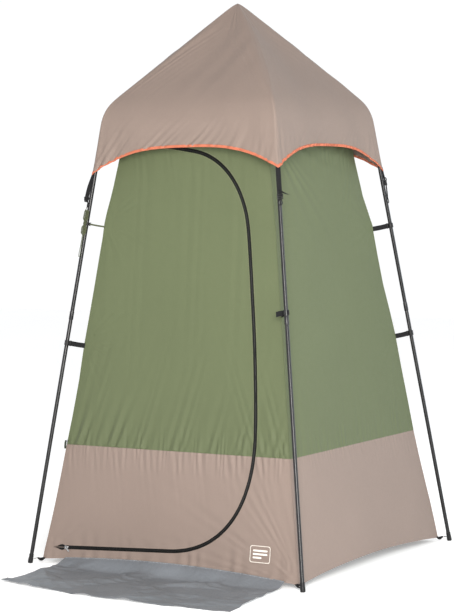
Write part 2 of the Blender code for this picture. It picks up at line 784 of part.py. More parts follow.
def make_guy_hank():
    """The stowed guy rope, hanging from the front left ring beside the leg."""
    matrix = (outside_leg("front_left", HANK_TOP, HANK_OUT) @ Matrix.Translation((-HANK_ASIDE, 0, 0))
              @ Matrix.Rotation(math.radians(HANK_TURN), 4, "Y"))
    w = HANK_HALF_WIDTH
    outline = arc((0, -w), w, 0, 180, 8) + arc((0, w - HANK_LENGTH), w, 180, 360, 8)
    flat_piece("guy_rope_hank", [outline], HANK_HALF_THICK, matrix, "olive_cord")


BASE_LEVEL = 0.0170         # height of the ground tabs and rings
TAB_LENGTH = 0.0150
GROUND_RING_OUTER = 0.0075
GROUND_RING_INNER = 0.0050


def ground_frame(corner, z):
    """Level, on the leg's axis at height z: +X in towards the booth, +Z up."""
    sx, sy = CORNERS[corner]
    inward = Vector((-sx, -sy, 0)).normalized()
    up = Vector((0, 0, 1))
    return basis(inward, up.cross(inward), up, Vector((sx * leg_half(z), sy * leg_half(z), z)))


def make_ground_hardware():
    """At each corner a tapered webbing tab, and the steel ring and pin that tie it to the foot."""
    corner_reach = math.sqrt(2) * (leg_half(BASE_LEVEL) - wall_half(BASE_LEVEL)) - 0.005
    tab_end = corner_reach - TAB_LENGTH
    ring_centre = tab_end - GROUND_RING_OUTER - GAP
    pin_end = FOOT_CAP_RADIUS + 0.0012
    pin_half = 0.0014
    start = math.degrees(math.asin(pin_half / GROUND_RING_OUTER))
    tab = [(tab_end, -0.008), (corner_reach, -0.018), (corner_reach, 0.018), (tab_end, 0.008)]
    outline = arc((ring_centre, 0), GROUND_RING_OUTER, 180 + start, 540 - start, 18)
    outline += [(pin_end, pin_half), (pin_end, -pin_half)]
    hole = arc((ring_centre, 0), GROUND_RING_INNER, 0, 345, 15)
    for corner in CORNERS:
        frame = ground_frame(corner, BASE_LEVEL)
        flat_piece("base_tab_" + corner, [tab], STRAP_HALF_THICK, frame, "webbing")
        flat_piece("ring_pin_" + corner, [outline, hole], 0.0012, frame, "bright_steel")


# Label and door toggle ----------------------------------------------------------------------------------
LABEL_CENTRE = (0.398, 0.109)
LABEL_HALF = (0.044, 0.032)
TOGGLE_Z = 0.4650
TOGGLE_INSET = 0.010        # from the corner along the front wall
TOGGLE_LENGTH = 0.030
TOGGLE_RADIUS = 0.0042


def make_label():
    cx, cy = on_wall(*LABEL_CENTRE)
    w, h = LABEL_HALF
    r = 0.006
    outline = arc((cx + w - r, cy + h - r), r, 0, 90, 4) + arc((cx - w + r, cy + h - r), r, 90, 180, 4)
    outline += arc((cx - w + r, cy - h + r), r, 180, 270, 4) + arc((cx + w - r, cy - h + r), r, 270, 360, 4)
    out = CLOTH / 2 + GAP + 0.0005
    flat_piece("label_patch", [outline], 0.0005, wall_matrix("front", out), "label_cloth")


def make_toggle():
    """A toggle that ties the open door back, hanging from a loop beside the front left corner seam."""
    seat = Vector((TOGGLE_INSET - wall_half(TOGGLE_Z), -wall_half(TOGGLE_Z), TOGGLE_Z))
    up = Vector((0, WALL_LEAN, 1)).normalized()
    across = Vector((1, 0, 0))
    outward = across.cross(up)
    pivot = seat + outward * 0.0120
    loop_frame = basis(outward, up, outward.cross(up), seat)
    loop = [(0.0022, 0.004), (0.0022, -0.004), (0.0072, -0.004), (0.0072, 0.004)]
    flat_piece("toggle_loop", [loop], 0.003, loop_frame, "webbing")
    hinge = add_empty("toggle_hinge", pivot, TENT_AXIS)
    r = TOGGLE_RADIUS
    profile = [(0, 0.003), (0.0020, 0.003), (0.0026, 0.000), (r * 0.8, -0.003), (r, -0.006),
               (r, 0.003 - TOGGLE_LENGTH), (r * 0.7, -TOGGLE_LENGTH), (0, -TOGGLE_LENGTH)]
    matrix = basis(outward, up.cross(outward), up, pivot)
    place(bpy.data.objects.new("door_toggle", turned_mesh("door_toggle", profile, 12)), matrix,
          "black_plastic", hinge)


make_feet_and_lower_legs()
make_upper_legs()
make_roof_poles()
make_hub()
make_canopy()
make_piping()
make_plain_walls()
make_front_wall()
door_hinge = hinge_empty()
make_door(door_hinge)
make_zip(door_hinge)
make_slider()
make_flap()
make_leg_straps()
make_hem_straps()
make_guy_hank()
make_ground_hardware()
make_label()
make_toggle()
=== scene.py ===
"""The looks of the privacy shower tent: its cloth, poles, webbing, zip and ground flap."""

import json
import math

import bmesh
import bpy
import numpy as np
from mathutils import Matrix, Vector, noise
from mathutils.geometry import delaunay_2d_cdt


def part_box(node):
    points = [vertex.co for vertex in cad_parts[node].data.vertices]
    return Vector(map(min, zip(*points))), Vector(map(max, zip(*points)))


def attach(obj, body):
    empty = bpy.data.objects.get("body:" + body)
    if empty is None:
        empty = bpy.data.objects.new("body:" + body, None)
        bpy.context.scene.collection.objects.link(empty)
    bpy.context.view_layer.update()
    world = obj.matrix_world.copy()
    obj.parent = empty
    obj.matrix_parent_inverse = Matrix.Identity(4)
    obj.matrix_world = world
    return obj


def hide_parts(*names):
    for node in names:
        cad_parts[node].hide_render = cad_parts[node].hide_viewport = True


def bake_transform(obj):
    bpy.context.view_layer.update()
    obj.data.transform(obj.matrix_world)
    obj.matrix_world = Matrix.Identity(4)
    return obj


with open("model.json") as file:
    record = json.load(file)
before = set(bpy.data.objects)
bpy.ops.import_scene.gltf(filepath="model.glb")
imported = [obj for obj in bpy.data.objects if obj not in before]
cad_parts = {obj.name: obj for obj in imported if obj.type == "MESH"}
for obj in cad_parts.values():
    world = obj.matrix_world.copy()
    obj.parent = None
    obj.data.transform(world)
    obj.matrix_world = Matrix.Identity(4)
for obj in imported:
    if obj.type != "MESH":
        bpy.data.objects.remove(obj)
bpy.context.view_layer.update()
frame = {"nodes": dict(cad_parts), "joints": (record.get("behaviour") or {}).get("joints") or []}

# Dimensions of the frame, in metres, measured from the tent's axis ----------------------------------------
CORNERS = {"front_left": (-1, -1), "front_right": (1, -1), "back_right": (1, 1), "back_left": (-1, 1)}
SIDES = {"front": 0, "right": 1, "back": 2, "left": 3}
front_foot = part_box("foot_cap_front_left")
back_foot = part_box("foot_cap_back_left")
SETBACK = 0.25 * sum(corner[1] for corner in (*front_foot, *back_foot))

FOOT_HALF_SPAN = 0.600
LEG_LEAN = 0.1319
JOINT_HEIGHT = 0.930
SHOULDER_HEIGHT = 1.705
HUB_HEIGHT = 2.118
POLE_RADIUS = 0.0075
BEND_RADIUS = 0.100
LEG_START = 0.010           # height at which a lower leg starts inside its foot cap
UPPER_LEG_TAIL = 0.085      # the upper leg goes on this far past the corner of its bend
HUB_REACH = 0.058           # the hub's sockets reach this far from its centre

WALL_HALF_AT_GROUND = 0.566
WALL_LEAN = 0.1465
WALL_SLOPE = math.sqrt(1 + WALL_LEAN ** 2)
SEAM_HEIGHT = 0.4525
HEM_CORNER_HEIGHT = 0.014
HEM_RISE = 0.027
WALL_TOP_CORNER = 1.765
WALL_TOP_MIDDLE = 1.803
WALL_TOP_FLAT = 0.215
DOOR_HINGE_INSET = 0.040
DOOR_START_Z = 0.0625
DOOR_TOP_Z = 1.600
HEADER_HEIGHT = 1.556       # the front wall's cloth is pieced here, under the canopy's hem
CANOPY_HEM_CORNER = 1.485
SCALLOP_RISE = 0.080
SCALLOP_POWER = 3.0
CLOTH = 0.0008              # thickness the visible cloth is given
SLIDER_X = -0.455           # the zip slider at rest, near the end of its run at the hinge
FINE_CLOTH = 0.0040         # spacing of the cloth's points where it puckers


# Small maths ----------------------------------------------------------------------------------------------
def ripple(t, wavelength, seed):
    """A wandering wave between about -1 and 1, for folds that are alike but never the same."""
    turn = 2 * math.pi * t / wavelength
    wander = 1.6 * np.sin(turn / 5.3 + seed * 1.7) + 0.9 * np.sin(turn / 2.7 + seed * 2.9)
    swell = 0.62 + 0.38 * np.sin(turn / 3.7 + seed * 4.3)
    return np.sin(turn + seed + wander) * swell


def soft(x, z, size, seed, stretch=1.0):
    """Smooth hills and hollows of about the given size, between about -1 and 1."""
    values = [noise.noise(Vector((a / size, b / (size * stretch), seed * 7.31))) for a, b in zip(x, z)]
    return np.array(values) * 1.6


def fade(distance, reach):
    return np.exp(-np.abs(distance) / reach)


def step(low, high, value):
    share = np.clip((value - low) / (high - low), 0, 1)
    return share * share * (3 - 2 * share)


def leg_half(z):
    return FOOT_HALF_SPAN - LEG_LEAN * z


def wall_half(z):
    return WALL_HALF_AT_GROUND - WALL_LEAN * z


def spin(side):
    return Matrix.Rotation(math.radians(90) * SIDES[side], 3, "Z")


def to_world(points):
    """Points measured from the tent's axis, put where the frame stands."""
    return np.asarray(points, dtype=float) + np.array((0.0, SETBACK, 0.0))


# Building pieces ------------------------------------------------------------------------------------------
def add_piece(name, part, material, slot=None, *replaces, smooth_deg=40, body="root"):
    """One visible piece from (points, faces). It rides a body and stands for the CAD nodes it replaces."""
    points, faces = part
    mesh = bpy.data.meshes.new(name)
    mesh.from_pydata([tuple(p) for p in to_world(points)], [], [tuple(f) for f in faces])
    mesh.update()
    mesh.shade_smooth()
    if smooth_deg < 180:
        mesh.set_sharp_from_angle(angle=math.radians(smooth_deg))
    obj = bpy.data.objects.new(name, mesh)
    bpy.context.scene.collection.objects.link(obj)
    mesh.materials.append(material)
    if body:
        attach(obj, body)
    if replaces:
        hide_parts(*replaces)
    return obj


def thicken(obj, thickness=CLOTH, offset=-1.0):
    """Give a cloth its thickness, with crisp cut edges."""
    work = bmesh.new()
    work.from_mesh(obj.data)
    for edge in work.edges:
        edge.smooth = not edge.is_boundary
    work.to_mesh(obj.data)
    work.free()
    solidify = obj.modifiers.new("cloth", "SOLIDIFY")
    solidify.thickness = thickness
    solidify.offset = offset


def quads(rows, ring, wrap=True, flip=False):
    """Faces between neighbouring rows of points; where they wrap, a row's last point joins its first."""
    faces = []
    for i in range(rows - 1):
        for k in range(ring if wrap else ring - 1):
            m = (k + 1) % ring
            a, b, c, d = i * ring + k, i * ring + m, (i + 1) * ring + m, (i + 1) * ring + k
            faces.append((a, d, c, b) if flip else (a, b, c, d))
    return faces


def capped(rows, ring):
    """The faces of a solid made of rings, with both ends filled."""
    last = (rows - 1) * ring
    return quads(rows, ring) + [tuple(reversed(range(ring))), tuple(range(last, last + ring))]


def sweep(path, side, out, section, closed=False):
    """A section of (across, out) points carried along a path: returns points and faces."""
    path, side, out = (np.asarray(a, dtype=float) for a in (path, side, out))
    section = np.asarray(section, dtype=float)
    points = (path[:, None, :] + section[None, :, 0:1] * side[:, None, :]
              + section[None, :, 1:2] * out[:, None, :]).reshape(-1, 3)
    count, ring = len(path), len(section)
    if not closed:
        return points, capped(count, ring)
    return points, [tuple(i % len(points) for i in face) for face in quads(count + 1, ring)]


def travel(path, closed=False):
    path = np.asarray(path, dtype=float)
    if closed:
        run = np.roll(path, -1, axis=0) - np.roll(path, 1, axis=0)
    else:
        run = np.gradient(path, axis=0)
    return run / np.linalg.norm(run, axis=1, keepdims=True)


def frames_along(path, first_side, closed=False):
    """Side and outward directions carried along a path without twisting."""
    runs = travel(path, closed)
    side = np.asarray(first_side, dtype=float)
    sides, outs = [], []
    for run in runs:
        side = side - run * side.dot(run)
        side = side / np.linalg.norm(side)
        sides.append(side)
        outs.append(np.cross(side, run))
    return np.array(sides), np.array(outs)


def circle(count):
    return 2 * math.pi * np.arange(count) / count


def round_section(radius, sides):
    angles = circle(sides)
    return np.stack((radius * np.cos(angles), -radius * np.sin(angles)), axis=1)


def flat_section(half_width, half_thick, corner=0.4):
    """A flat section whose corners are cut off by a share of its thickness."""
    w, t = half_width, half_thick
    k = t * corner
    return [(-w, k - t), (-w, t - k), (k - w, t), (w - k, t),
            (w, t - k), (w, k - t), (w - k, -t), (k - w, -t)]


def band(path, half_width, half_thick, across=(0, 0, 1), corner=0.4):
    """Flat webbing along a path, with its width lying across."""
    path = np.asarray(path, dtype=float)
    sides = np.tile(np.asarray(across, dtype=float), (len(path), 1))
    return sweep(path, sides, np.cross(sides, travel(path)), flat_section(half_width, half_thick, corner))


def wire_loop(loop, across, radius, sides=8):
    """Round wire or cord along a closed loop that lies square to across."""
    side = np.tile(np.asarray(across, dtype=float), (len(loop), 1))
    out = np.cross(side, travel(loop, closed=True))
    return sweep(loop, side, out, round_section(radius, sides), closed=True)


def ring_wire(radius, wire, steps=28):
    angles = circle(steps)
    loop = np.stack((radius * np.cos(angles), radius * np.sin(angles), 0 * angles), axis=1)
    return wire_loop(loop, (0, 0, 1), wire, 10)


def merge(parts):
    """Several (points, faces) as one."""
    points, faces, start = [], [], 0
    for part_points, part_faces in parts:
        points.append(np.asarray(part_points))
        faces += [tuple(i + start for i in face) for face in part_faces]
        start += len(part_points)
    return np.concatenate(points), faces


def moved(part, matrix):
    points, faces = part
    rotation = np.array(matrix.to_3x3())
    return np.asarray(points) @ rotation.T + np.array(matrix.translation), faces


def shifted(part, x, y=0.0, z=0.0):
    return moved(part, Matrix.Translation((x, y, z)))


def rounded_block(size, radius, segments=2):
    work = bmesh.new()
    bmesh.ops.create_cube(work, size=1.0)
    bmesh.ops.scale(work, verts=work.verts, vec=size)
    bmesh.ops.bevel(work, geom=work.edges[:], offset=radius, segments=segments, affect="EDGES", profile=0.5)
    work.verts.ensure_lookup_table()
    points = np.array([tuple(v.co) for v in work.verts])
    faces = [tuple(v.index for v in f.verts) for f in work.faces]
    work.free()
    return points, faces


def turned(profile, steps=24):
    """A solid of revolution about Z from (radius, height) points listed from top to bottom."""
    points, faces = [], []
    ring_of = []
    for radius, height in profile:
        if radius < 1e-7:
            ring_of.append([len(points)] * steps)
            points.append((0, 0, height))
        else:
            start = len(points)
            ring_of.append([start + i for i in range(steps)])
            for i in range(steps):
                angle = 2 * math.pi * i / steps
                points.append((radius * math.cos(angle), radius * math.sin(angle), height))
    for upper, lower in zip(ring_of, ring_of[1:]):
        for i in range(steps):
            j = (i + 1) % steps
            corners = []
            for index in (upper[i], lower[i], lower[j], upper[j]):
                if index not in corners:
                    corners.append(index)
            if len(corners) > 2:
                faces.append(tuple(corners))
    return np.array(points), faces


def basis(x_axis, y_axis, z_axis, origin):
    matrix = Matrix((x_axis, y_axis, z_axis)).transposed().to_4x4()
    matrix.translation = origin
    return matrix


def leg_frame(corner, z):
    """On the leg's axis at height z: +X in towards the booth, +Y across, +Z up along the leg."""
    sx, sy = CORNERS[corner]
    up = Vector((-sx * LEG_LEAN, -sy * LEG_LEAN, 1)).normalized()
    inward = Vector((-sx, -sy, 0)).normalized()
    inward = (inward - inward.dot(up) * up).normalized()
    return basis(inward, up.cross(inward), up, Vector((sx * leg_half(z), sy * leg_half(z), z)))


# Materials ------------------------------------------------------------------------------------------------
class Nodes:
    """Short calls for wiring a material."""

    def __init__(self, name):
        self.material = bpy.data.materials.new(name)
        self.material.use_nodes = True
        self.tree = self.material.node_tree
        self.shader = self.tree.nodes["Principled BSDF"]
        self.place = self.tree.nodes.new("ShaderNodeTexCoord").outputs["Object"]

    def node(self, kind, **settings):
        made = self.tree.nodes.new(kind)
        for key, value in settings.items():
            setattr(made, key, value)
        return made

    def link(self, output, target):
        self.tree.links.new(output, target)

    def scaled(self, factors):
        mapping = self.node("ShaderNodeMapping")
        mapping.inputs["Scale"].default_value = factors
        self.link(self.place, mapping.inputs["Vector"])
        return mapping.outputs["Vector"]

    def noise(self, scale, detail=3.0, vector=None, roughness=0.5):
        made = self.node("ShaderNodeTexNoise")
        made.inputs["Scale"].default_value = scale
        made.inputs["Detail"].default_value = detail
        made.inputs["Roughness"].default_value = roughness
        self.link(vector or self.place, made.inputs["Vector"])
        return made.outputs["Fac"]

    def wave(self, direction, per_metre, distortion=0.0):
        made = self.node("ShaderNodeTexWave", wave_type="BANDS", bands_direction=direction)
        made.inputs["Scale"].default_value = per_metre * 2 * math.pi / 20
        made.inputs["Distortion"].default_value = distortion
        self.link(self.place, made.inputs["Vector"])
        return made.outputs["Fac"]

    def ramp(self, value, stops):
        made = self.node("ShaderNodeValToRGB")
        elements = made.color_ramp.elements
        while len(elements) < len(stops):
            elements.new(0.5)
        for element, (place, colour) in zip(elements, stops):
            element.position = place
            element.color = (*colour, 1.0)
        self.link(value, made.inputs["Fac"])
        return made.outputs["Color"]

    def maths(self, operation, first, second):
        made = self.node("ShaderNodeMath", operation=operation)
        for socket, value in zip(made.inputs, (first, second)):
            if isinstance(value, (int, float)):
                socket.default_value = value
            else:
                self.link(value, socket)
        return made.outputs[0]

    def mapped(self, value, low, high):
        made = self.node("ShaderNodeMapRange")
        made.inputs["To Min"].default_value = low
        made.inputs["To Max"].default_value = high
        self.link(value, made.inputs["Value"])
        return made.outputs["Result"]

    def bump(self, height, distance, strength=1.0, normal=None):
        made = self.node("ShaderNodeBump")
        made.inputs["Distance"].default_value = distance
        made.inputs["Strength"].default_value = strength
        self.link(height, made.inputs["Height"])
        if normal is not None:
            self.link(normal, made.inputs["Normal"])
        return made.outputs["Normal"]

    def finish(self, colour=None, roughness=None, normal=None):
        for socket, value in (("Base Color", colour), ("Roughness", roughness), ("Normal", normal)):
            if value is None:
                continue
            if isinstance(value, (int, float)):
                self.shader.inputs[socket].default_value = value
            elif isinstance(value, tuple):
                self.shader.inputs[socket].default_value = (*value, 1.0)
            else:
                self.link(value, self.shader.inputs[socket])
        return self.material


def tone(colour, factor):
    return tuple(min(1.0, c * factor) for c in colour)


def cloth_material(name, colour, roughness=0.66, threads=900, sheen=0.03, mottle=0.04):
    """Plain-woven coated polyester: crossed threads, slubs and a slight drift of colour."""
    n = Nodes(name)
    drift = n.noise(3.0, 4.0)
    fine = n.noise(220.0, 2.0, n.scaled((1, 1, 0.25)))
    tint = n.maths("ADD", n.maths("MULTIPLY", drift, 0.7), n.maths("MULTIPLY", fine, 0.3))
    shade = n.ramp(tint, [(0.30, tone(colour, 1 - mottle)), (0.70, tone(colour, 1 + mottle))])
    warp = n.maths("ADD", n.wave("X", threads), n.wave("Y", threads))
    weave = n.maths("MULTIPLY", warp, n.wave("Z", threads))
    slub = n.noise(400.0, 2.0)
    height = n.maths("ADD", n.maths("MULTIPLY", weave, 0.5), slub)
    normal = n.bump(height, 0.00018, 0.5)
    normal = n.bump(n.noise(38.0, 4.0), 0.0012, 0.22, normal)
    n.shader.inputs["Sheen Weight"].default_value = sheen
    n.shader.inputs["Sheen Roughness"].default_value = 0.45
    n.shader.inputs["Specular IOR Level"].default_value = 0.25
    rough = n.mapped(n.noise(60.0, 3.0), roughness - 0.06, roughness + 0.06)
    return n.finish(shade, rough, normal)


def sheet_material(name, colour):
    """Coated polyethylene sheet: creased, with soft glints along the creases."""
    n = Nodes(name)
    drift = n.noise(5.0, 5.0)
    shade = n.ramp(drift, [(0.32, tone(colour, 0.88)), (0.70, tone(colour, 1.12))])
    crease = n.node("ShaderNodeTexVoronoi", feature="DISTANCE_TO_EDGE")
    crease.inputs["Scale"].default_value = 34.0
    warped = n.node("ShaderNodeVectorMath", operation="ADD")
    jitter = n.node("ShaderNodeTexNoise")
    jitter.inputs["Scale"].default_value = 9.0
    scaled = n.node("ShaderNodeVectorMath", operation="SCALE")
    scaled.inputs["Scale"].default_value = 0.08
    n.link(n.place, jitter.inputs["Vector"])
    n.link(jitter.outputs["Color"], scaled.inputs[0])
    n.link(n.place, warped.inputs[0])
    n.link(scaled.outputs["Vector"], warped.inputs[1])
    n.link(warped.outputs["Vector"], crease.inputs["Vector"])
    ridge = n.mapped(crease.outputs["Distance"], 0.0, 3.0)
    normal = n.bump(ridge, 0.0016, 0.35)
    scrim = n.maths("ADD", n.wave("X", 420), n.wave("Y", 420))
    normal = n.bump(scrim, 0.00012, 0.5, normal)
    normal = n.bump(n.noise(90.0, 4.0), 0.0010, 0.35, normal)
    rough = n.mapped(n.noise(22.0, 4.0), 0.34, 0.60)
    n.shader.inputs["Specular IOR Level"].default_value = 0.5
    return n.finish(shade, rough, normal)


def webbing_material(name, colour, rib=520):
    """Ribbed narrow webbing, its colour darker in the grooves and lighter on the crests of the ribs: painted
    shade and highlight.
    """
    n = Nodes(name)
    ribs = n.maths("ADD", n.wave("X", rib), n.wave("Z", rib))
    # Painted shade and highlight: the rib heights that drive the bump also darken the grooves and lighten the
    # crests.
    shade = n.ramp(n.maths("MULTIPLY", ribs, 0.5), [(0.2, tone(colour, 0.7)), (0.8, tone(colour, 1.35))])
    normal = n.bump(ribs, 0.0003, 0.6)
    normal = n.bump(n.noise(900.0, 2.0), 0.0002, 0.4, normal)
    n.shader.inputs["Specular IOR Level"].default_value = 0.15
    return n.finish(shade, 0.78, normal)


def pole_material(name):
    """Gloss black enamel over rolled steel tube, a little dusty and scuffed."""
    n = Nodes(name)
    wear = n.noise(55.0, 5.0, n.scaled((1, 1, 0.15)))
    shade = n.ramp(wear, [(0.35, (0.007, 0.007, 0.008)), (0.72, (0.016, 0.016, 0.018))])
    rough = n.mapped(n.noise(120.0, 4.0, n.scaled((1, 1, 0.1))), 0.20, 0.38)
    normal = n.bump(n.noise(260.0, 2.0, n.scaled((1, 1, 0.2))), 0.0001, 0.5)
    n.shader.inputs["Specular IOR Level"].default_value = 0.35
    return n.finish(shade, rough, normal)


def plastic_material(name, colour, roughness=0.42):
    n = Nodes(name)
    shade = n.ramp(n.noise(80.0, 3.0), [(0.3, tone(colour, 0.85)), (0.7, tone(colour, 1.2))])
    normal = n.bump(n.noise(1500.0, 2.0), 0.00008, 0.6)
    n.shader.inputs["Specular IOR Level"].default_value = 0.25
    rough = n.mapped(n.noise(200.0, 3.0), roughness - 0.06, roughness + 0.08)
    return n.finish(shade, rough, normal)


def steel_material(name):
    n = Nodes(name)
    shade = n.ramp(n.noise(300.0, 3.0), [(0.3, (0.40, 0.40, 0.41)), (0.7, (0.58, 0.58, 0.58))])
    rough = n.mapped(n.noise(500.0, 3.0), 0.16, 0.34)
    n.shader.inputs["Metallic"].default_value = 1.0
    return n.finish(shade, rough, n.bump(n.noise(700.0, 2.0), 0.00005, 0.5))


def ground_material():
    n = Nodes("ground_paper")
    shade = n.ramp(n.noise(0.8, 2.0), [(0.3, (0.93, 0.93, 0.93)), (0.7, (0.95, 0.95, 0.95))])
    n.shader.inputs["Emission Color"].default_value = (1.0, 1.0, 1.0, 1.0)
    n.shader.inputs["Emission Strength"].default_value = 0.265
    return n.finish(shade, 0.9)


CANOPY = cloth_material("canopy_taupe_cloth", (0.198, 0.152, 0.130))
GREEN = cloth_material("sage_green_cloth", (0.094, 0.112, 0.057))
TAUPE = cloth_material("lower_taupe_cloth", (0.215, 0.165, 0.142))
ORANGE = webbing_material("orange_binding_cloth", (0.41, 0.125, 0.072), 380)
WEBBING = webbing_material("black_webbing", (0.010, 0.010, 0.011))
OLIVE = webbing_material("olive_cord_braid", (0.070, 0.078, 0.045), 700)
ZIP_TAPE = webbing_material("zip_tape_weave", (0.006, 0.006, 0.006), 800)
ZIP_COIL = plastic_material("zip_coil_nylon", (0.006, 0.006, 0.006), 0.42)
POLE = pole_material("black_enamel_steel")
PLASTIC = plastic_material("black_moulded_plastic", (0.009, 0.009, 0.010))
TOGGLE_PLASTIC = plastic_material("dark_green_plastic", (0.016, 0.022, 0.013))
STEEL = steel_material("nickel_steel")
FLAP = sheet_material("grey_coated_sheet", (0.152, 0.165, 0.184))
THREAD = webbing_material("stitch_thread", (0.30, 0.24, 0.20), 900)
# Pale grey thread for the flap's stitches: real stitching, its light colour a painted highlight for the
# glints along the flap's seam.
FLAP_GLINT_THREAD = webbing_material("flap_glint_thread", (0.55, 0.56, 0.57), 900)
LABEL = cloth_material("label_weave", (0.74, 0.69, 0.63), 0.7, 1200)


# The booth's walls ----------------------------------------------------------------------------------------
# How far each corner of the booth stands outside (+) or inside (-) its straight line, in mm by height
SLACK_HEIGHTS = (0.00, 0.05, 0.10, 0.16, 0.24, 0.35, 0.45, 0.55, 0.62, 0.70, 0.77, 0.842, 0.93, 1.04, 1.16,
                 1.24, 1.272, 1.297, 1.34, 1.39, 1.44, 1.52, 1.62, 1.90)
SLACK = {
    "front_left": (0, 0, -2, -3.7, -5.5, -6.5, -7.0, -8.1, -8.1, -7.7, -5.3, -3.3, -2.7, -1.6, 0.3, 1.2,
                   2.6, 3.6, 2.6, -0.4, -2.4, -4.0, -5.0, 0),
    "back_right": (0, 0, 0, -0.6, -2.6, -5.0, -5.6, -4.2, -3.7, -3.2, -2.2, -0.8, -2.4, -5.6, -4.0, -2.2,
                   -0.6, -3.0, -6.6, -11.0, -11.6, -13.0, -13.0, 0),
}
SLACK["back_left"] = SLACK["front_left"]
SLACK["front_right"] = SLACK["back_right"]
WALL_CORNERS = {"front": ("front_left", "front_right"), "right": ("front_right", "back_right"),
                "back": ("back_right", "back_left"), "left": ("back_left", "front_left")}


def slack(z, corner):
    return np.interp(z, SLACK_HEIGHTS, SLACK[corner]) * 0.001


def edge_half(z, corner):
    return wall_half(z) + slack(z, corner)


def hem_height(x):
    return HEM_CORNER_HEIGHT + HEM_RISE * (1 - (x / WALL_HALF_AT_GROUND) ** 2)


def bezier(start, handle_a, handle_b, end, steps):
    points = []
    for i in range(1, steps + 1):
        t = i / steps
        weights = ((1 - t) ** 3, 3 * t * (1 - t) ** 2, 3 * t * t * (1 - t), t ** 3)
        points.append(tuple(sum(w * p[k] for w, p in zip(weights, (start, handle_a, handle_b, end)))
                            for k in (0, 1)))
    return points


ZIP_RUN_END = (0.000, 0.088)
LOWER_TURN = ((0.235, 0.096), (0.353, 0.265), (0.348, 0.511))
FREE_SIDE = ((0.344, 0.700), (0.285, 1.160), (0.262, 1.281))
UPPER_TURN = ((0.243, 1.410), (0.150, 1.535), (0.015, 1.563))
TOP_RUN = ((-0.080, 1.580), (-0.180, DOOR_TOP_Z))


def hinge_x(z):
    return -(wall_half(z) - DOOR_HINGE_INSET)


def door_line():
    """The zip's centre line as (x, z), from the hinge's foot round to the hinge's top."""
    points = [(hinge_x(DOOR_START_Z), DOOR_START_Z), ZIP_RUN_END]
    points += bezier(ZIP_RUN_END, *LOWER_TURN, 24)
    points += bezier(LOWER_TURN[2], *FREE_SIDE, 12)
    points += bezier(FREE_SIDE[2], *UPPER_TURN, 16)
    points += bezier(UPPER_TURN[2], *TOP_RUN, (hinge_x(DOOR_TOP_Z), DOOR_TOP_Z), 8)
    return resample(points, 0.010)


def resample(points, spacing, closed=False):
    """The same line with points about spacing apart, ends kept."""
    points = np.asarray(points, dtype=float)
    if closed:
        points = np.vstack((points, points[:1]))
    steps = np.linalg.norm(np.diff(points, axis=0), axis=1)
    along = np.concatenate(([0], np.cumsum(steps)))
    count = max(2, int(round(along[-1] / spacing)) + 1)
    marks = np.linspace(0, along[-1], count)
    even = np.stack([np.interp(marks, along, points[:, k]) for k in range(points.shape[1])], axis=1)
    return even[:-1] if closed else even


DOOR_LINE = door_line()


def distance_to_line(x, z, line):
    best = np.full(len(x), 9.0)
    for (ax, az), (bx, bz) in zip(line, line[1:]):
        run = np.array((bx - ax, bz - az))
        length = run.dot(run)
        share = np.clip(((x - ax) * run[0] + (z - az) * run[1]) / length, 0, 1)
        best = np.minimum(best, np.hypot(x - ax - share * run[0], z - az - share * run[1]))
    return best


def fan(x, z, centre, reach, count, size, seed, start=0.0):
    """Folds that spread from a point where the cloth is pulled."""
    dx, dz = x - centre[0], z - centre[1]
    radius = np.hypot(dx, dz)
    angle = np.arctan2(dz, dx)
    wave = ripple(angle * count / (2 * math.pi), 1.0, seed)
    return size * wave * np.exp(-radius / reach) * step(start, start + 0.06, radius)


def seam_folds(x, z, seed, size, lean):
    """Puckers at the colour seam and the longer folds that climb out of them."""
    over = z - SEAM_HEIGHT
    above = (over > 0).astype(float)
    pucker = ripple(x, 0.023, seed) + 0.35 * ripple(x, 0.013, seed + 1)
    fold = size * pucker * (above * fade(over, 0.045) + (1 - above) * fade(over, 0.050))
    climb = x - over * lean
    tall = 0.10 + 0.10 * np.sin(7.3 * x + seed) ** 2
    fold += 1.5 * size * fade(over, tall) * above * ripple(climb, 0.040, seed + 2)
    fold += 0.9 * size * fade(over, 0.10) * (1 - above) * ripple(x + over * 0.20, 0.034, seed + 5)
    return fold


# Where the front wall is pulled, by ground hooks and leg straps: place, reach, folds, size, seed, start
FRONT_PULLS = (((0.585, 0.000), 0.20, 58, 0.0082, 4.0, 0.03), ((-0.575, 0.005), 0.16, 30, 0.0030, 6.0, 0.04),
               ((-0.445, 0.842), 0.09, 26, 0.0034, 2.2, 0.01), ((-0.376, 1.297), 0.09, 26, 0.0030, 5.2, 0.01),
               ((0.425, 0.975), 0.07, 26, 0.0022, 7.2, 0.01))


def front_folds(x, z):
    d = 0.0035 * soft(x, z, 0.33, 1.0, 1.6)
    d += seam_folds(x, z, 1.3, 0.0024, 0.26)
    over = z - SEAM_HEIGHT
    above = over > 0
    d += 0.0062 * step(0.05, -0.45, x) * fade(over, 0.16) * above * ripple(x - over * 0.40, 0.058, 8.0)
    d += 0.0040 * step(0.0, 0.04, x - 0.33) * fade(over, 0.10) * above * ripple(x + over * 0.3, 0.030, 4.4)
    for pull in FRONT_PULLS:
        d += fan(x, z, *pull)
    d += 0.0030 * fade(z - 1.62, 0.075) * ripple(x + 0.22 * (z - 1.6), 0.034, 9.0)
    d += 0.0006 * ripple(x + 0.02 * z, 0.055, 3.0) * step(0.5, 1.0, z)
    crossing = x - 0.30 - (0.75 - z) * 0.42
    d += 0.0040 * np.exp(-(crossing / 0.09) ** 2) * ripple(crossing, 0.040, 5.5) * fade(z - 0.55, 0.14)
    d += 0.0030 * step(0.10, 0.0, z - 0.06) * ripple(x, 0.060, 2.7)
    stiff = 1 - 0.75 * np.exp(-(distance_to_line(x, z, DOOR_LINE[::2]) / 0.014) ** 2)
    patch = step(0.080, 0.048, np.abs(x - LABEL_CENTRE[0])) * step(0.065, 0.036, np.abs(z - LABEL_CENTRE[1]))
    return d * stiff * (1 - 0.8 * patch)


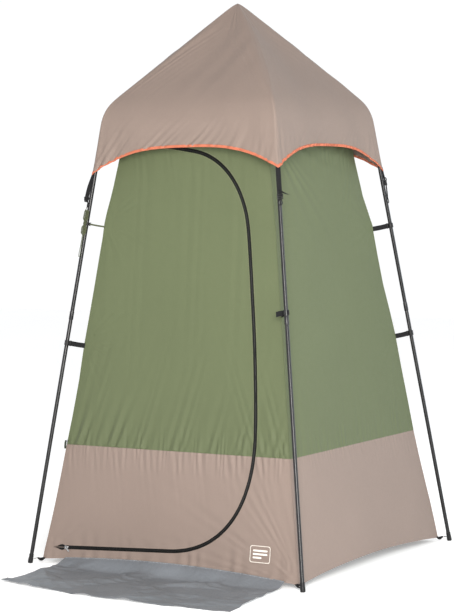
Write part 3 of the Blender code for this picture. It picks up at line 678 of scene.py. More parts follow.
def plain_folds(x, z, seed, calm):
    d = 0.0045 * soft(x, z, 0.40, seed, 1.5)
    d += seam_folds(x, z, seed, 0.0024 * calm, 0.10)
    for number, (place, reach, size, start) in enumerate((
            ((-0.575, 0.005), 0.15, 0.0042 * calm, 0.04), ((0.575, 0.005), 0.15, 0.0042 * calm, 0.04),
            ((-0.335, 1.64), 0.20, 0.0066, 0.03), ((0.335, 1.64), 0.15, 0.0044, 0.03))):
        d += fan(x, z, place, reach, 34, size, seed + 1 + number, start)
    for height in (0.842, 1.271):
        half = float(wall_half(height))
        d += fan(x, z, (half, height), 0.07, 26, 0.0026, seed + height, 0.01)
        d += fan(x, z, (-half, height), 0.07, 26, 0.0026, seed + 2 * height, 0.01)
    d += 0.0022 * fade(z - 1.62, 0.085) * ripple(x, 0.036, seed + 6)
    return d


FOLDS = {
    "front": front_folds,
    "right": lambda x, z: plain_folds(x, z, 11.0, 0.35),
    "back": lambda x, z: plain_folds(x, z, 23.0, 0.9),
    "left": lambda x, z: plain_folds(x, z, 37.0, 0.8),
}


def wall_surface(side, flat, out=0.0):
    """Flat (x, height) points of a wall, as the hung cloth's points in space."""
    flat = np.asarray(flat, dtype=float)
    x, z = flat[:, 0], flat[:, 1]
    half = wall_half(z)
    left, right = WALL_CORNERS[side]
    pull = -np.where(x < 0, slack(z, left), slack(z, right))
    share = np.clip(np.abs(x) / half, 0, 1)
    across = x * (1 - pull / half * share ** 2)
    calm = 1 - 0.85 * share ** 14
    d = FOLDS[side](x, z) * calm - pull * share ** 5 + out
    drop = 1 / WALL_SLOPE
    points = np.stack((across, -half - d * drop, z + d * WALL_LEAN * drop), axis=1)
    return points @ np.array(spin(side)).T


def inside(points, loop):
    """Which points lie inside a closed loop."""
    x, y = points[:, 0], points[:, 1]
    result = np.zeros(len(points), dtype=bool)
    for (ax, ay), (bx, by) in zip(loop, np.roll(loop, -1, axis=0)):
        crosses = (ay > y) != (by > y)
        with np.errstate(divide="ignore", invalid="ignore"):
            at = (bx - ax) * (y - ay) / (by - ay) + ax
        result ^= crosses & (x < at)
    return result


def local_spacing(z, spacing):
    """Cloth is drawn finer beside the colour seam, where it puckers."""
    return np.where(np.abs(z - SEAM_HEIGHT) < 0.085, min(spacing, FINE_CLOTH), spacing)


def thin_edge(loop, spacing):
    """A closed outline with points as close together as the cloth beside them."""
    fine = resample(loop, FINE_CLOTH, closed=True)
    gaps = np.linalg.norm(np.diff(fine, axis=0), axis=1)
    wanted = local_spacing(fine[:, 1], spacing)
    kept, run = [0], 0.0
    for i in range(1, len(fine)):
        run += gaps[i - 1]
        before, after = fine[i] - fine[i - 1], fine[(i + 1) % len(fine)] - fine[i]
        bend = abs(before[0] * after[1] - before[1] * after[0])
        sharp = bend > 0.25 * np.linalg.norm(before) * np.linalg.norm(after)
        if run >= wanted[i] - 1e-4 or sharp:
            kept.append(i)
            run = 0.0
    return fine[kept]


def cut_cloth(loop, spacing):
    """A flat cutting of cloth filled with even triangles: returns flat points and faces."""
    edge = thin_edge(loop, spacing)
    low, high = edge.min(axis=0), edge.max(axis=0)
    rows, row = [], low[1]
    while row < high[1]:
        rows.append(row)
        row += float(local_spacing(np.array(row), spacing)) * 0.866
    grid = []
    for i, row in enumerate(rows):
        near = float(local_spacing(np.array(row), spacing))
        xs = np.arange(low[0] + (i % 2) * near / 2, high[0], near)
        grid.append(np.stack((xs, np.full(len(xs), row)), axis=1))
    grid = np.concatenate(grid)
    grid = grid[inside(grid, edge)]
    closed = np.vstack((edge, edge[:1]))
    room = local_spacing(grid[:, 1], spacing) * 0.55
    grid = grid[distance_to_line(grid[:, 0], grid[:, 1], closed) > room]
    verts = [Vector(p) for p in np.vstack((edge, grid))]
    ring = list(range(len(edge)))
    points, _, faces, _, _, _ = delaunay_2d_cdt(verts, [], [ring], 1, 1e-6)
    return np.array([tuple(p) for p in points]), [tuple(f) for f in faces]


def outward(points, faces):
    """The same part, its faces wound so that they look away from the tent's axis."""
    wound = []
    for face in faces:
        a, b, c = (points[i] for i in face[:3])
        normal = np.cross(b - a, c - a)
        away = (a + b + c) / 3 - np.array((0.0, 0.0, (a[2] + b[2] + c[2]) / 3))
        wound.append(tuple(face) if normal.dot(away) > 0 else tuple(reversed(face)))
    return points, wound


# The booth's two cloths, by the last word of a CAD node's name
CLOTHS = {"lower": (TAUPE, "taupe_fabric"), "upper": (GREEN, "green_fabric")}


def hang_cloth(name, side, loop, spacing, node, body="root"):
    material, slot = CLOTHS[node.split("_")[-1]]
    flat, faces = cut_cloth(loop, spacing)
    part = outward(wall_surface(side, flat), faces)
    obj = add_piece(name, part, material, slot, node, smooth_deg=180, body=body)
    thicken(obj)


def hem_points(sign_from, sign_to):
    xs = np.linspace(sign_from * 0.5635, sign_to * 0.5635, 41)
    return [(x, hem_height(x)) for x in xs]


def wall_edge(z, sign):
    return (sign * wall_half(z), z)


def wall_top(sign):
    ends = [(sign * wall_half(WALL_TOP_CORNER), WALL_TOP_CORNER), (sign * WALL_TOP_FLAT, WALL_TOP_MIDDLE)]
    return ends + [(-x, z) for x, z in reversed(ends)]


def make_plain_walls():
    lower = hem_points(-1, 1) + [wall_edge(SEAM_HEIGHT, 1), wall_edge(SEAM_HEIGHT, -1)]
    upper = [wall_edge(SEAM_HEIGHT, -1), wall_edge(SEAM_HEIGHT, 1)] + wall_top(1)
    for side, spacing in (("right", 0.0090), ("back", 0.012), ("left", 0.012)):
        hang_cloth(f"{side}_wall_skirt", side, lower, spacing, f"wall_{side}_lower")
        hang_cloth(f"{side}_wall_cloth", side, upper, spacing, f"wall_{side}_upper")


def crossing_of_seam():
    for i, (first, second) in enumerate(zip(DOOR_LINE, DOOR_LINE[1:])):
        if first[1] < SEAM_HEIGHT <= second[1]:
            share = (SEAM_HEIGHT - first[1]) / (second[1] - first[1])
            return i, tuple(first + share * (second - first))


def make_front():
    index, cross = crossing_of_seam()
    below = [tuple(p) for p in DOOR_LINE[:index + 1]] + [cross]
    above = [cross] + [tuple(p) for p in DOOR_LINE[index + 1:]]
    hinge = (hinge_x(SEAM_HEIGHT), SEAM_HEIGHT)
    split = max(i for i, point in enumerate(above) if point[1] < HEADER_HEIGHT and point[0] > 0)
    header_edge = [wall_edge(HEADER_HEIGHT, 1), (above[split][0], HEADER_HEIGHT)]
    pieces = (
        ("front_skirt_cloth", "front_wall_lower", hem_points(-1, 1) + [wall_edge(SEAM_HEIGHT, 1)]
         + below[::-1] + [hinge, wall_edge(SEAM_HEIGHT, -1)]),
        ("front_header_cloth", "front_wall_upper", above[split + 1:] + [wall_edge(DOOR_TOP_Z, -1)]
         + wall_top(1)[::-1] + header_edge),
        ("front_side_cloth", "front_wall_upper", above[:split + 1] + header_edge[::-1]
         + [wall_edge(SEAM_HEIGHT, 1)]),
        ("front_hinge_cloth", "front_wall_upper", [hinge, above[-1], wall_edge(DOOR_TOP_Z, -1),
                                                   wall_edge(SEAM_HEIGHT, -1)]),
        ("door_skirt_cloth", "door_lower", below + [hinge]),
        ("door_cloth", "door_upper", [hinge] + above),
    )
    for name, node, loop in pieces:
        hang_cloth(name, "front", loop, 0.0080, node, "door" if node.startswith("door") else "root")


# Canopy ---------------------------------------------------------------------------------------------------
# The canopy's outside along a corner, from tip to hem: a straight ridge, a rounded shoulder, a valance
RIDGE = ((0.0000, 2.1405), (0.0090, 2.1375), (0.0220, 2.1265), (0.0400, 2.1075), (0.0900, 2.0530),
         (0.1500, 1.9875), (0.2100, 1.9220), (0.2700, 1.8565), (0.3200, 1.8020), (0.3450, 1.7745),
         (0.3600, 1.7560), (0.3715, 1.7370), (0.3800, 1.7160), (0.3870, 1.6900), (0.3925, 1.6500),
         (0.3975, 1.6100), (0.4040, 1.5600), (0.4145, CANOPY_HEM_CORNER))
CANOPY_ROWS = 130
CANOPY_COLUMNS = 120
CORNER_COLUMN_SHARE = 0.12  # share of the columns' width that is rounded over the corner poles
CANOPY_LENGTH = 0.665       # along a profile, from tip to hem
RIDGE_ROUND = 0.010         # the cloth is rounded over a roof pole by this radius
ROUND_SPILL = 0.293         # how much of a radius a rounded corner would cut off the outline
FRONT_RIGHT_LIFT = 0.012    # the hem hangs a little higher at this corner
VALANCE_START = 0.74        # share of a profile's length where the hem's scallop starts to draw it up


def smoothed_line(points, spacing, passes):
    line = resample(points, spacing)
    for _ in range(passes):
        line[1:-1] = 0.25 * line[:-2] + 0.5 * line[1:-1] + 0.25 * line[2:]
    return line


CORNER_PROFILE = smoothed_line(RIDGE, 0.005, 6)
MIDDLE_PROFILE = smoothed_line(RIDGE, 0.005, 300)


def profile_at(profile, w):
    """A profile's (half, z) at shares w of its length."""
    marks = np.linspace(0, 1, len(profile))
    return np.interp(w, marks, profile[:, 0]), np.interp(w, marks, profile[:, 1])


def scallop(share):
    return SCALLOP_RISE * (1 - np.abs(2 * share - 1) ** SCALLOP_POWER)


def canopy_points(side_index, u, w):
    """Points of one side of the canopy, u across from corner to corner, w down from tip to hem.
    The outermost columns lie close together, where the cloth is rounded over the pole."""
    edge = np.abs(2 * u - 1)
    corner_share = np.clip((edge - (1 - CORNER_COLUMN_SHARE)) / CORNER_COLUMN_SHARE, 0, 1)
    straight_share = np.clip(edge / (1 - CORNER_COLUMN_SHARE), 0, 1)
    wide = profile_at(CORNER_PROFILE, w)[0]
    soft_ridge = 0.034 * step(0.05, 0.25, w) * step(0.66, 0.45, w)
    round_radius = np.minimum(RIDGE_ROUND + soft_ridge, 0.55 * wide)
    widen = ROUND_SPILL * (round_radius - np.minimum(RIDGE_ROUND, 0.55 * wide))
    round_share = round_radius / wide
    across = np.sign(2 * u - 1)
    u = 0.5 + 0.5 * across * (straight_share * (1 - round_share) + corner_share * round_share)
    swell = np.sin(math.pi * np.clip(u, 0, 1)) ** 0.9
    lift_share = scallop(u) / CANOPY_LENGTH
    w_scaled = np.where(w > VALANCE_START,
                        VALANCE_START + (w - VALANCE_START) * (1 - lift_share / (1 - VALANCE_START)), w)
    half_a, z_a = profile_at(CORNER_PROFILE, w_scaled)
    half_b, z_b = profile_at(MIDDLE_PROFILE, w_scaled)
    half = half_a + (half_b - half_a) * swell
    z = z_a + (z_b - z_a) * swell
    roof = step(0.80, 0.35, w) * step(0.0, 0.3, w)
    valance = step(0.70, 0.90, w)
    sag = np.sin(math.pi * np.clip(u, 0, 1)) ** 1.9 * (0.014 * roof + 0.005 * valance)
    below = np.maximum(0.0, (1 - w) * CANOPY_LENGTH)
    seed = 3.0 + 2.1 * side_index
    along = (2 * u - 1) * half_a
    corner_near = half_a * (1 - np.abs(2 * u - 1))
    calm = 0.45 if side_index == 1 else 1.0
    slanted = along - below * (0.75 - 0.55 * step(0.0, 0.35, along))
    d = 0.0036 * calm * fade(below, 0.050) * ripple(slanted, 0.030, seed)
    d += 0.0036 * calm * fade(below, 0.085) * ripple(slanted, 0.052, seed + 3)
    left_near = half_a * 2 * u
    d += 0.0050 * fade(left_near, 0.075) * valance * ripple(left_near + 0.05 * below, 0.042, seed + 1)
    d += 0.0034 * fade(half_a * 2 * (1 - u), 0.045) * valance * ripple(corner_near, 0.026, seed + 2)
    d += 0.0030 * fade(corner_near, 0.080) * roof * ripple(corner_near + 0.10 * w, 0.032, seed + 5)
    d += 0.0022 * roof * ripple(along * 0.8 + w * 0.25, 0.13, seed + 7)
    d += 0.0024 * fade(w - 0.14, 0.09) * np.sin(math.pi * u) * ripple(u * 0.3, 0.055, seed + 9)
    d += 0.0025 * ripple(along + 0.3 * below, 0.21, seed + 11) * step(0.2, 0.6, w)
    d *= step(0.0, 0.020, corner_near)
    slant_out = 0.30 + 0.65 * valance
    slant_up = 0.70 * (1 - valance)
    reach = half + widen * edge ** 2 + (d - sag) * slant_out
    z = z + (d - sag) * slant_up
    angle = corner_share * math.pi / 4
    x = across * (straight_share * (half_a + widen - round_radius) + round_radius * np.sin(angle))
    y = -(reach - round_radius * (1 - np.cos(angle)))
    from_front_right = {0: 1 - u, 1: u}.get(side_index, np.ones_like(u)) * 2 * wide
    z = z + FRONT_RIGHT_LIFT * fade(from_front_right, 0.10) * step(0.78, 1.0, w) * step(0.0, 0.02, wide)
    return np.stack((x, y, z), axis=1)


def side_columns(count):
    """Shares across a side, closer together where the corner is rounded."""
    corner = 5
    edge = np.linspace(0, CORNER_COLUMN_SHARE / 2, corner + 1)[:-1]
    middle = np.linspace(CORNER_COLUMN_SHARE / 2, 1 - CORNER_COLUMN_SHARE / 2, count - 2 * corner + 1)
    return np.concatenate((edge, middle, 1 - edge[::-1][:-1]))


def make_canopy():
    """The whole canopy as one sheet round a tip: returns the points of its hem."""
    columns = side_columns(CANOPY_COLUMNS)
    ring = 4 * len(columns)
    points = [np.array([[0.0, 0.0, RIDGE[0][1]]])]
    for w in np.linspace(0, 1, CANOPY_ROWS + 1)[1:] ** 0.92:
        for index, side in enumerate(SIDES):
            part = canopy_points(index, columns, np.full(len(columns), w))
            points.append(part @ np.array(spin(side)).T)
    points = np.concatenate(points)
    faces = [(0, 1 + k, 1 + (k + 1) % ring) for k in range(ring)]
    faces += [tuple(i + 1 for i in face) for face in quads(CANOPY_ROWS, ring, flip=True)]
    canopy = add_piece("canopy_cloth", (points, faces), CANOPY, "canopy_fabric", "canopy_front",
                       "canopy_right", "canopy_back", "canopy_left", smooth_deg=180)
    thicken(canopy, 0.0010)
    return points[-ring:]


def make_binding(hem):
    """Orange tape folded over the hem."""
    path = resample(hem, 0.006, closed=True)
    away = path * (1, 1, 0)
    away /= np.linalg.norm(away, axis=1, keepdims=True)
    runs = travel(path, closed=True)
    out = away - runs * np.sum(away * runs, axis=1, keepdims=True)
    out /= np.linalg.norm(out, axis=1, keepdims=True)
    up = np.cross(runs, out)
    up *= np.sign(up[:, 2:3])
    section = [(0.0068, 0.0012), (0.0068, -0.0018), (-0.0012, -0.0021), (-0.0030, -0.0011),
               (-0.0034, 0.0001), (-0.0030, 0.0014), (-0.0012, 0.0022), (0.0030, 0.0020)]
    add_piece("canopy_binding", sweep(path, up, out, section, closed=True), ORANGE, "orange_binding",
              "canopy_piping", smooth_deg=50)


# Poles, hub and feet --------------------------------------------------------------------------------------
def bent_leg(corner, start_z):
    """The upper leg's axis: up the leg, round the shoulder bend, then towards the hub."""
    sx, sy = CORNERS[corner]
    up = Vector((-sx * LEG_LEAN, -sy * LEG_LEAN, 1)).normalized()
    vertex = Vector((sx * leg_half(SHOULDER_HEIGHT), sy * leg_half(SHOULDER_HEIGHT), SHOULDER_HEIGHT))
    along = (Vector((0, 0, HUB_HEIGHT)) - vertex).normalized()
    half_turn = up.angle(along) / 2
    reach = BEND_RADIUS * math.tan(half_turn)
    normal = (along - up.dot(along) * up).normalized()
    centre = vertex - up * reach + normal * BEND_RADIUS
    points = [Vector((sx * leg_half(start_z), sy * leg_half(start_z), start_z)), vertex - up * reach]
    for i in range(1, 17):
        angle = 2 * half_turn * i / 16
        points.append(centre + BEND_RADIUS * (up * math.sin(angle) - normal * math.cos(angle)))
    return points, vertex, along


def tube(points, radius, sides=20):
    path = [tuple(p) for p in points]
    run = Vector(path[1]) - Vector(path[0])
    steep = abs(run.normalized().z) >= 0.95
    side = run.cross(Vector((1, 0.3, 0)) if steep else Vector((0, 0, 1)))
    return sweep(path, *frames_along(path, side.normalized()), round_section(radius, sides))


def pole_rings(start, end, profile):
    """A straight pole drawn as rings: profile gives (distance from start, radius) pairs."""
    start, end = Vector(start), Vector(end)
    run = (end - start).normalized()
    side = run.cross(Vector((1, 0.4, 0))).normalized()
    out = run.cross(side)
    count = 20
    points = [tuple(start + run * distance + radius * (side * math.cos(angle) + out * math.sin(angle)))
              for distance, radius in profile for angle in circle(count)]
    return np.array(points), capped(len(profile), count)


def make_poles():
    r = POLE_RADIUS
    for corner in CORNERS:
        low = leg_frame(corner, LEG_START).translation
        joint = leg_frame(corner, JOINT_HEIGHT).translation
        bend, vertex, along = bent_leg(corner, JOINT_HEIGHT)
        tail = vertex + along * UPPER_LEG_TAIL
        top = Vector((0, 0, HUB_HEIGHT)) - along * (HUB_REACH + 0.0003)
        up = (bend[1] - bend[0]).normalized()
        leg, roof = (joint - low).length, (top - tail).length
        swaged_end = [(0, r), (leg - 0.0065, r), (leg - 0.0035, r * 0.94), (leg, r * 0.90)]
        swaged_start = [(0.0003, r * 0.9), (0.003, r * 0.95), (0.005, r), (roof, r)]
        rolled_mouth = [(0, r + 0.0004), (0.0015, r + 0.0009), (0.030, r + 0.0009), (0.0337, r)]
        mouth = pole_rings(joint + up * 0.0003, joint + up * 0.034, rolled_mouth)
        for name, node, part in (("lower_leg_", "leg_lower_", pole_rings(low, joint, swaged_end)),
                                 ("upper_leg_", "leg_upper_", merge([tube(bend + [tail], r), mouth])),
                                 ("roof_tube_", "roof_pole_", pole_rings(tail, top, swaged_start))):
            add_piece(name + corner, part, POLE, "pole_steel", node + corner, smooth_deg=35)


def joint_place(name):
    return Vector(next(joint["pos_m"] for joint in frame["joints"] if joint["name"] == name))


# Ground flap ----------------------------------------------------------------------------------------------
FLAP_LEFT = (-0.460, -0.470)    # x of its left edge, at the wall and at the free edge
FLAP_RIGHT = (0.505, 0.550)
FLAP_CORNER_REACH = (0.950, 1.012)  # how far its free corners lie from the tent's axis, left and right
FLAP_REACH = 1.0300
FLAP_DROP = 0.075           # it comes down from the hem to the ground over this distance
FLAP_OVERLAP = 0.0040       # its top edge is sewn to the front of the wall, this far above the hem


def flap_point(u, v):
    x_left = FLAP_LEFT[0] + (FLAP_LEFT[1] - FLAP_LEFT[0]) * v
    x_right = FLAP_RIGHT[0] + (FLAP_RIGHT[1] - FLAP_RIGHT[0]) * v
    x = x_left + (x_right - x_left) * u
    corner = FLAP_CORNER_REACH[0] * (1 - u) + FLAP_CORNER_REACH[1] * u
    bulge = (FLAP_REACH - 0.5 * sum(FLAP_CORNER_REACH)) * math.sin(math.pi * u)
    wave = 0.010 * noise.noise(Vector((u * 9, 2, 4))) + 0.006 * noise.noise(Vector((u * 23, 1, 8)))
    reach = min(corner + bulge + wave * step(0.5, 1.0, v), FLAP_REACH + 0.003)
    back_z = hem_height(x) - 0.0022
    back_y = wall_half(back_z) + 0.0015
    out = back_y + (reach - back_y) * v
    fall = min((out - back_y) / FLAP_DROP, 1.0)
    level = back_z * (0.5 + 0.5 * math.cos(math.pi * fall))
    free = step(0.02, 0.18, v)
    crease = 0.0
    for scale, size, seed in ((3.2, 0.0085, 1.0), (7.5, 0.0048, 2.0), (16.0, 0.0022, 3.0)):
        place = Vector((x * scale + 0.6 * out * scale, out * scale * 1.5 - 0.4 * x * scale, seed * 5.1))
        crease += size * (1 - abs(noise.noise(place)) * 2.6)
    edge_wave = 0.010 * max(0.0, noise.noise(Vector((u * 11.0, 5.0, 1.0)))) * step(0.80, 1.0, v)
    pucker = 0.0020 * fade(out - back_y, 0.030) * (float(ripple(np.array(x), 0.017, 3.0)) - 1.0)
    z = level + max(0.0, crease - 0.0030) * free + edge_wave + 0.0006
    return (x, -out - pucker * 0.4, z + pucker * (0.4 + 0.6 * (1 - fall)))


def make_flap():
    across, down = 190, 90
    columns = np.linspace(0, 1, across + 1)
    grid = np.array([[flap_point(u, (j / down) ** 1.12) for u in columns] for j in range(down + 1)])
    seam = np.stack((grid[0, :, 0], hem_height(grid[0, :, 0]) + FLAP_OVERLAP), axis=1)
    sewn = wall_surface("front", seam, 0.0012)
    grid += (sewn - grid[0]) * fade(grid[:, :, 1:2] - grid[0, :, 1:2], 0.012)
    part = grid.reshape(-1, 3), quads(down + 1, across + 1, wrap=False, flip=True)
    flap = add_piece("flap_sheet_cloth", part, FLAP, "flap_sheet", "ground_flap", smooth_deg=180, body=None)
    thicken(flap, 0.0006, 1.0)
    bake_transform(flap)
    out = np.tile((0, -0.95, 0.3), (across + 1, 1))
    # Stitches along the flap's sewn edge: real stitching whose pale thread is also a painted highlight for
    # the glints along that seam.
    stitches("flap_glint_stitches", grid[1], out, FLAP_GLINT_THREAD, 0.0060, 0.7, lift=0.0008, wide=0.0007)


# Seams and stitching --------------------------------------------------------------------------------------
def stitches(name, path, out_dirs, material, pitch=0.0040, share=0.62, body="root", lift=0.0002,
             wide=0.00045):
    """A row of thread stitches lying on a surface: path on the surface, out_dirs away from it."""
    marks = resample(path, pitch / 4)
    index = np.linspace(0, len(path) - 1, len(marks))
    columns = [np.interp(index, np.arange(len(path)), np.asarray(out_dirs)[:, k]) for k in (0, 1, 2)]
    outs = np.stack(columns, axis=1)
    across = np.cross(travel(marks), outs)
    across /= np.linalg.norm(across, axis=1, keepdims=True)
    points, faces = [], []
    for i in range(0, len(marks) - 4, 4):
        a, b = marks[i], marks[i] + (marks[i + 4] - marks[i]) * share
        mid = (a + b) / 2
        w, o = across[i] * wide, outs[i]
        start = len(points)
        points += [a + o * lift, mid - w + o * lift, b + o * lift, mid + w + o * lift,
                   mid + o * (lift + 0.0005)]
        faces += [(start + k, start + (k + 1) % 4, start + 4) for k in range(4)]
    add_piece(name, (points, faces), material, smooth_deg=180, body=body)


def wall_stitches(name, side, flat, body="root", pitch=0.0040):
    flat = resample(flat, 0.006)
    normal = np.array(spin(side)) @ np.array((0, -1 / WALL_SLOPE, WALL_LEAN / WALL_SLOPE))
    outs = np.tile(normal, (len(flat), 1))
    stitches(name, wall_surface(side, flat, 0.0001), outs, THREAD, pitch, body=body)


def make_wall_seams():
    """The piped seam down each wall's right corner, and the rows of stitches on the walls and door."""
    heights = np.linspace(0.0145, 1.70, 170)
    split = int(np.searchsorted(heights, SEAM_HEIGHT))
    edge = np.stack((wall_half(heights), heights), axis=1)
    low = SEAM_HEIGHT - 0.005
    for side in SIDES:
        path = wall_surface(side, edge, 0.0003)
        sides_dir, outs = frames_along(path, (1, 0, 0))
        for label, part, material in (("skirt", slice(0, split + 1), TAUPE),
                                      ("cloth", slice(split, None), GREEN)):
            piping = sweep(path[part], sides_dir[part], outs[part], round_section(0.0013, 8))
            add_piece(f"{side}_right_corner_{label}_seam", piping, material, smooth_deg=180)
        hem = [(x, hem_height(x) + 0.012) for x in np.linspace(-0.556, 0.556, 60)]
        wall_stitches(f"{side}_hem_stitches", side, hem)
        if side != "front":
            half = wall_half(SEAM_HEIGHT) - 0.003
            wall_stitches(f"{side}_seam_stitches", side, [(-half, low), (half, low)])
    half, hinge = wall_half(low), hinge_x(low)
    free_side = DOOR_LINE[60:140]
    free_x = float(np.interp(low, free_side[:, 1], free_side[:, 0]))
    for label, start, end, body in (("door", hinge + 0.002, free_x - 0.009, "door"),
                                    ("front", free_x + 0.009, half - 0.003, "root"),
                                    ("hinge", 0.003 - half, hinge - 0.002, "root")):
        wall_stitches(label + "_seam_stitches", "front", [(start, low), (end, low)], body)


# Zip ------------------------------------------------------------------------------------------------------
def line_normals(line):
    """Unit directions to the left of a flat line, in the wall's own plane."""
    runs = travel(np.stack((line[:, 0], line[:, 1] * WALL_SLOPE), axis=1))
    return np.stack((-runs[:, 1], runs[:, 0] / WALL_SLOPE), axis=1)


def zip_strip(name, sign, profile, spacing, material, body, node, ribbed):
    """One half of the zip: profile lists (distance from the zip's line, height off the cloth)."""
    line = resample(DOOR_LINE, spacing)
    normals = line_normals(line)
    past = np.clip(SLIDER_X - 0.009 - line[:, 0], 0, None) * (line[:, 1] < 0.2)
    mouth = 0.0010 * step(0, 0.012, past)
    taper = (1 + 0.42 * step(0, 0.014, past)) * (1 - 0.90 * step(0.014, 0.048, past))
    columns = []
    for k, (distance, height) in enumerate(profile):
        lift = np.full(len(line), height)
        if ribbed and 0 < k < len(profile) - 1:
            lift[1::2] -= 0.0005
        flat = line + normals * (sign * (mouth + distance * taper))[:, None]
        columns.append(wall_surface("front", flat, lift))
    points = np.stack(columns, axis=1).reshape(-1, 3)
    faces = quads(len(line), len(profile), wrap=False, flip=sign < 0)
    add_piece(name, (points, faces), material, "zip_black", node, smooth_deg=30, body=body)


TAPE_PROFILE = ((0.0070, 0.0001), (0.0069, 0.0009), (0.0045, 0.0011), (0.0020, 0.0011), (0.0002, 0.0010))
COIL_PROFILE = ((0.0026, 0.0010), (0.0024, 0.0021), (0.0014, 0.0028), (0.0005, 0.0023), (0.0001, 0.0012))
STITCH_ROW = 0.0100         # from the zip's line to the stitches beside its tape


def make_zip():
    for side, sign, body in (("door", 1, "door"), ("frame", -1, "root")):
        node = "zip_tape_" + side
        zip_strip("zip_tape_cloth_" + side, sign, TAPE_PROFILE, 0.004, ZIP_TAPE, body, node, False)
        zip_strip("zip_coil_" + side, sign, COIL_PROFILE, 0.0015, ZIP_COIL, body, node, True)
        row = DOOR_LINE + line_normals(DOOR_LINE) * (sign * STITCH_ROW)
        keep = (DOOR_LINE[:, 0] > SLIDER_X - 0.02) | (DOOR_LINE[:, 1] > 0.3)
        wall_stitches("zip_stitches_" + side, "front", row[keep], body, 0.0044)


def slider_matrix(out):
    """On the zip's straight run at the slider: +X along the run, +Z outward."""
    start = Vector(wall_surface("front", [(hinge_x(DOOR_START_Z), DOOR_START_Z)])[0])
    end = Vector(wall_surface("front", [ZIP_RUN_END])[0])
    share = (SLIDER_X - hinge_x(DOOR_START_Z)) / (ZIP_RUN_END[0] - hinge_x(DOOR_START_Z))
    run = (end - start).normalized()
    outward = Vector((0, -1, WALL_LEAN)).normalized()
    outward = (outward - outward.dot(run) * run).normalized()
    flat = (SLIDER_X, DOOR_START_Z + share * (ZIP_RUN_END[1] - DOOR_START_Z))
    place = Vector(wall_surface("front", [flat])[0])
    return basis(run, outward.cross(run), outward, place + outward * out)


def make_slider():
    matrix = slider_matrix(0.0048)
    shell = rounded_block((0.0160, 0.0115, 0.0036), 0.0012, 3)
    nose = np.clip((shell[0][:, 0] + 0.001) / 0.009, 0, 1)
    shell[0][:, 1] *= 1 - 0.34 * nose
    rails = [shifted(rounded_block((0.0130, 0.0012, 0.0040), 0.0004), -0.0012, s * 0.0050) for s in (-1, 1)]
    turn = Matrix.Rotation(math.radians(-45), 4, "Z")
    arch = [(0.0036 * math.cos(a), 0, 0.0017 + 0.0050 * math.sin(a)) for a in np.linspace(0, math.pi, 15)]
    bail = moved(sweep(arch, *frames_along(arch, (0, 1, 0)), flat_section(0.0011, 0.0004)), turn)
    add_piece("slider_body", moved(merge([shell, *rails, bail]), matrix), STEEL, "bright_steel", "zip_slider",
              smooth_deg=35, body="zip_slider_body")
    rest = matrix @ turn
    rest.translation = joint_place("zip_pull_flip") - Vector((0, SETBACK, 0))
    loop = [(0.0032 - 0.0032 * math.cos(a), 0.0030 * math.sin(a), 0) for a in circle(24)]
    paddle = shifted(rounded_block((0.0160, 0.0060, 0.0014), 0.0006), 0.0140)
    studs = [shifted(rounded_block((0.0010, 0.0040, 0.0020), 0.0003), x) for x in (0.0150, 0.0172, 0.0194)]
    pull = merge([wire_loop(loop, (0, 0, 1), 0.0007), paddle, *studs])
    add_piece("slider_pull", moved(pull, rest), STEEL, "bright_steel", "zip_pull", smooth_deg=35,
              body="zip_pull_body")


# Straps, clips and ground hardware ------------------------------------------------------------------------
# Each leg strap's corner of the booth, its height and the half width of its webbing
STRAPS = {
    "upper_front_left": ("front_left", 1.297, 0.0032),
    "lower_front_left": ("front_left", 0.842, 0.0095),
    "upper_back_right": ("back_right", 1.271, 0.0095),
    "lower_back_right": ("back_right", 0.842, 0.0095),
    "upper_back_left": ("back_left", 1.271, 0.0095),
    "lower_back_left": ("back_left", 0.842, 0.0095),
    "lower_front_right": ("front_right", 0.975, 0.0095),
}
CLIP_HALF_ARC = 128         # degrees that a clip's hook reaches round the leg, to either side


def straight(start, end, steps, sag=0.0):
    t = np.linspace(0, 1, steps + 1)[:, None]
    line = np.asarray(start) * (1 - t) + np.asarray(end) * t
    line[:, 2] -= sag * np.sin(math.pi * t[:, 0])
    return line


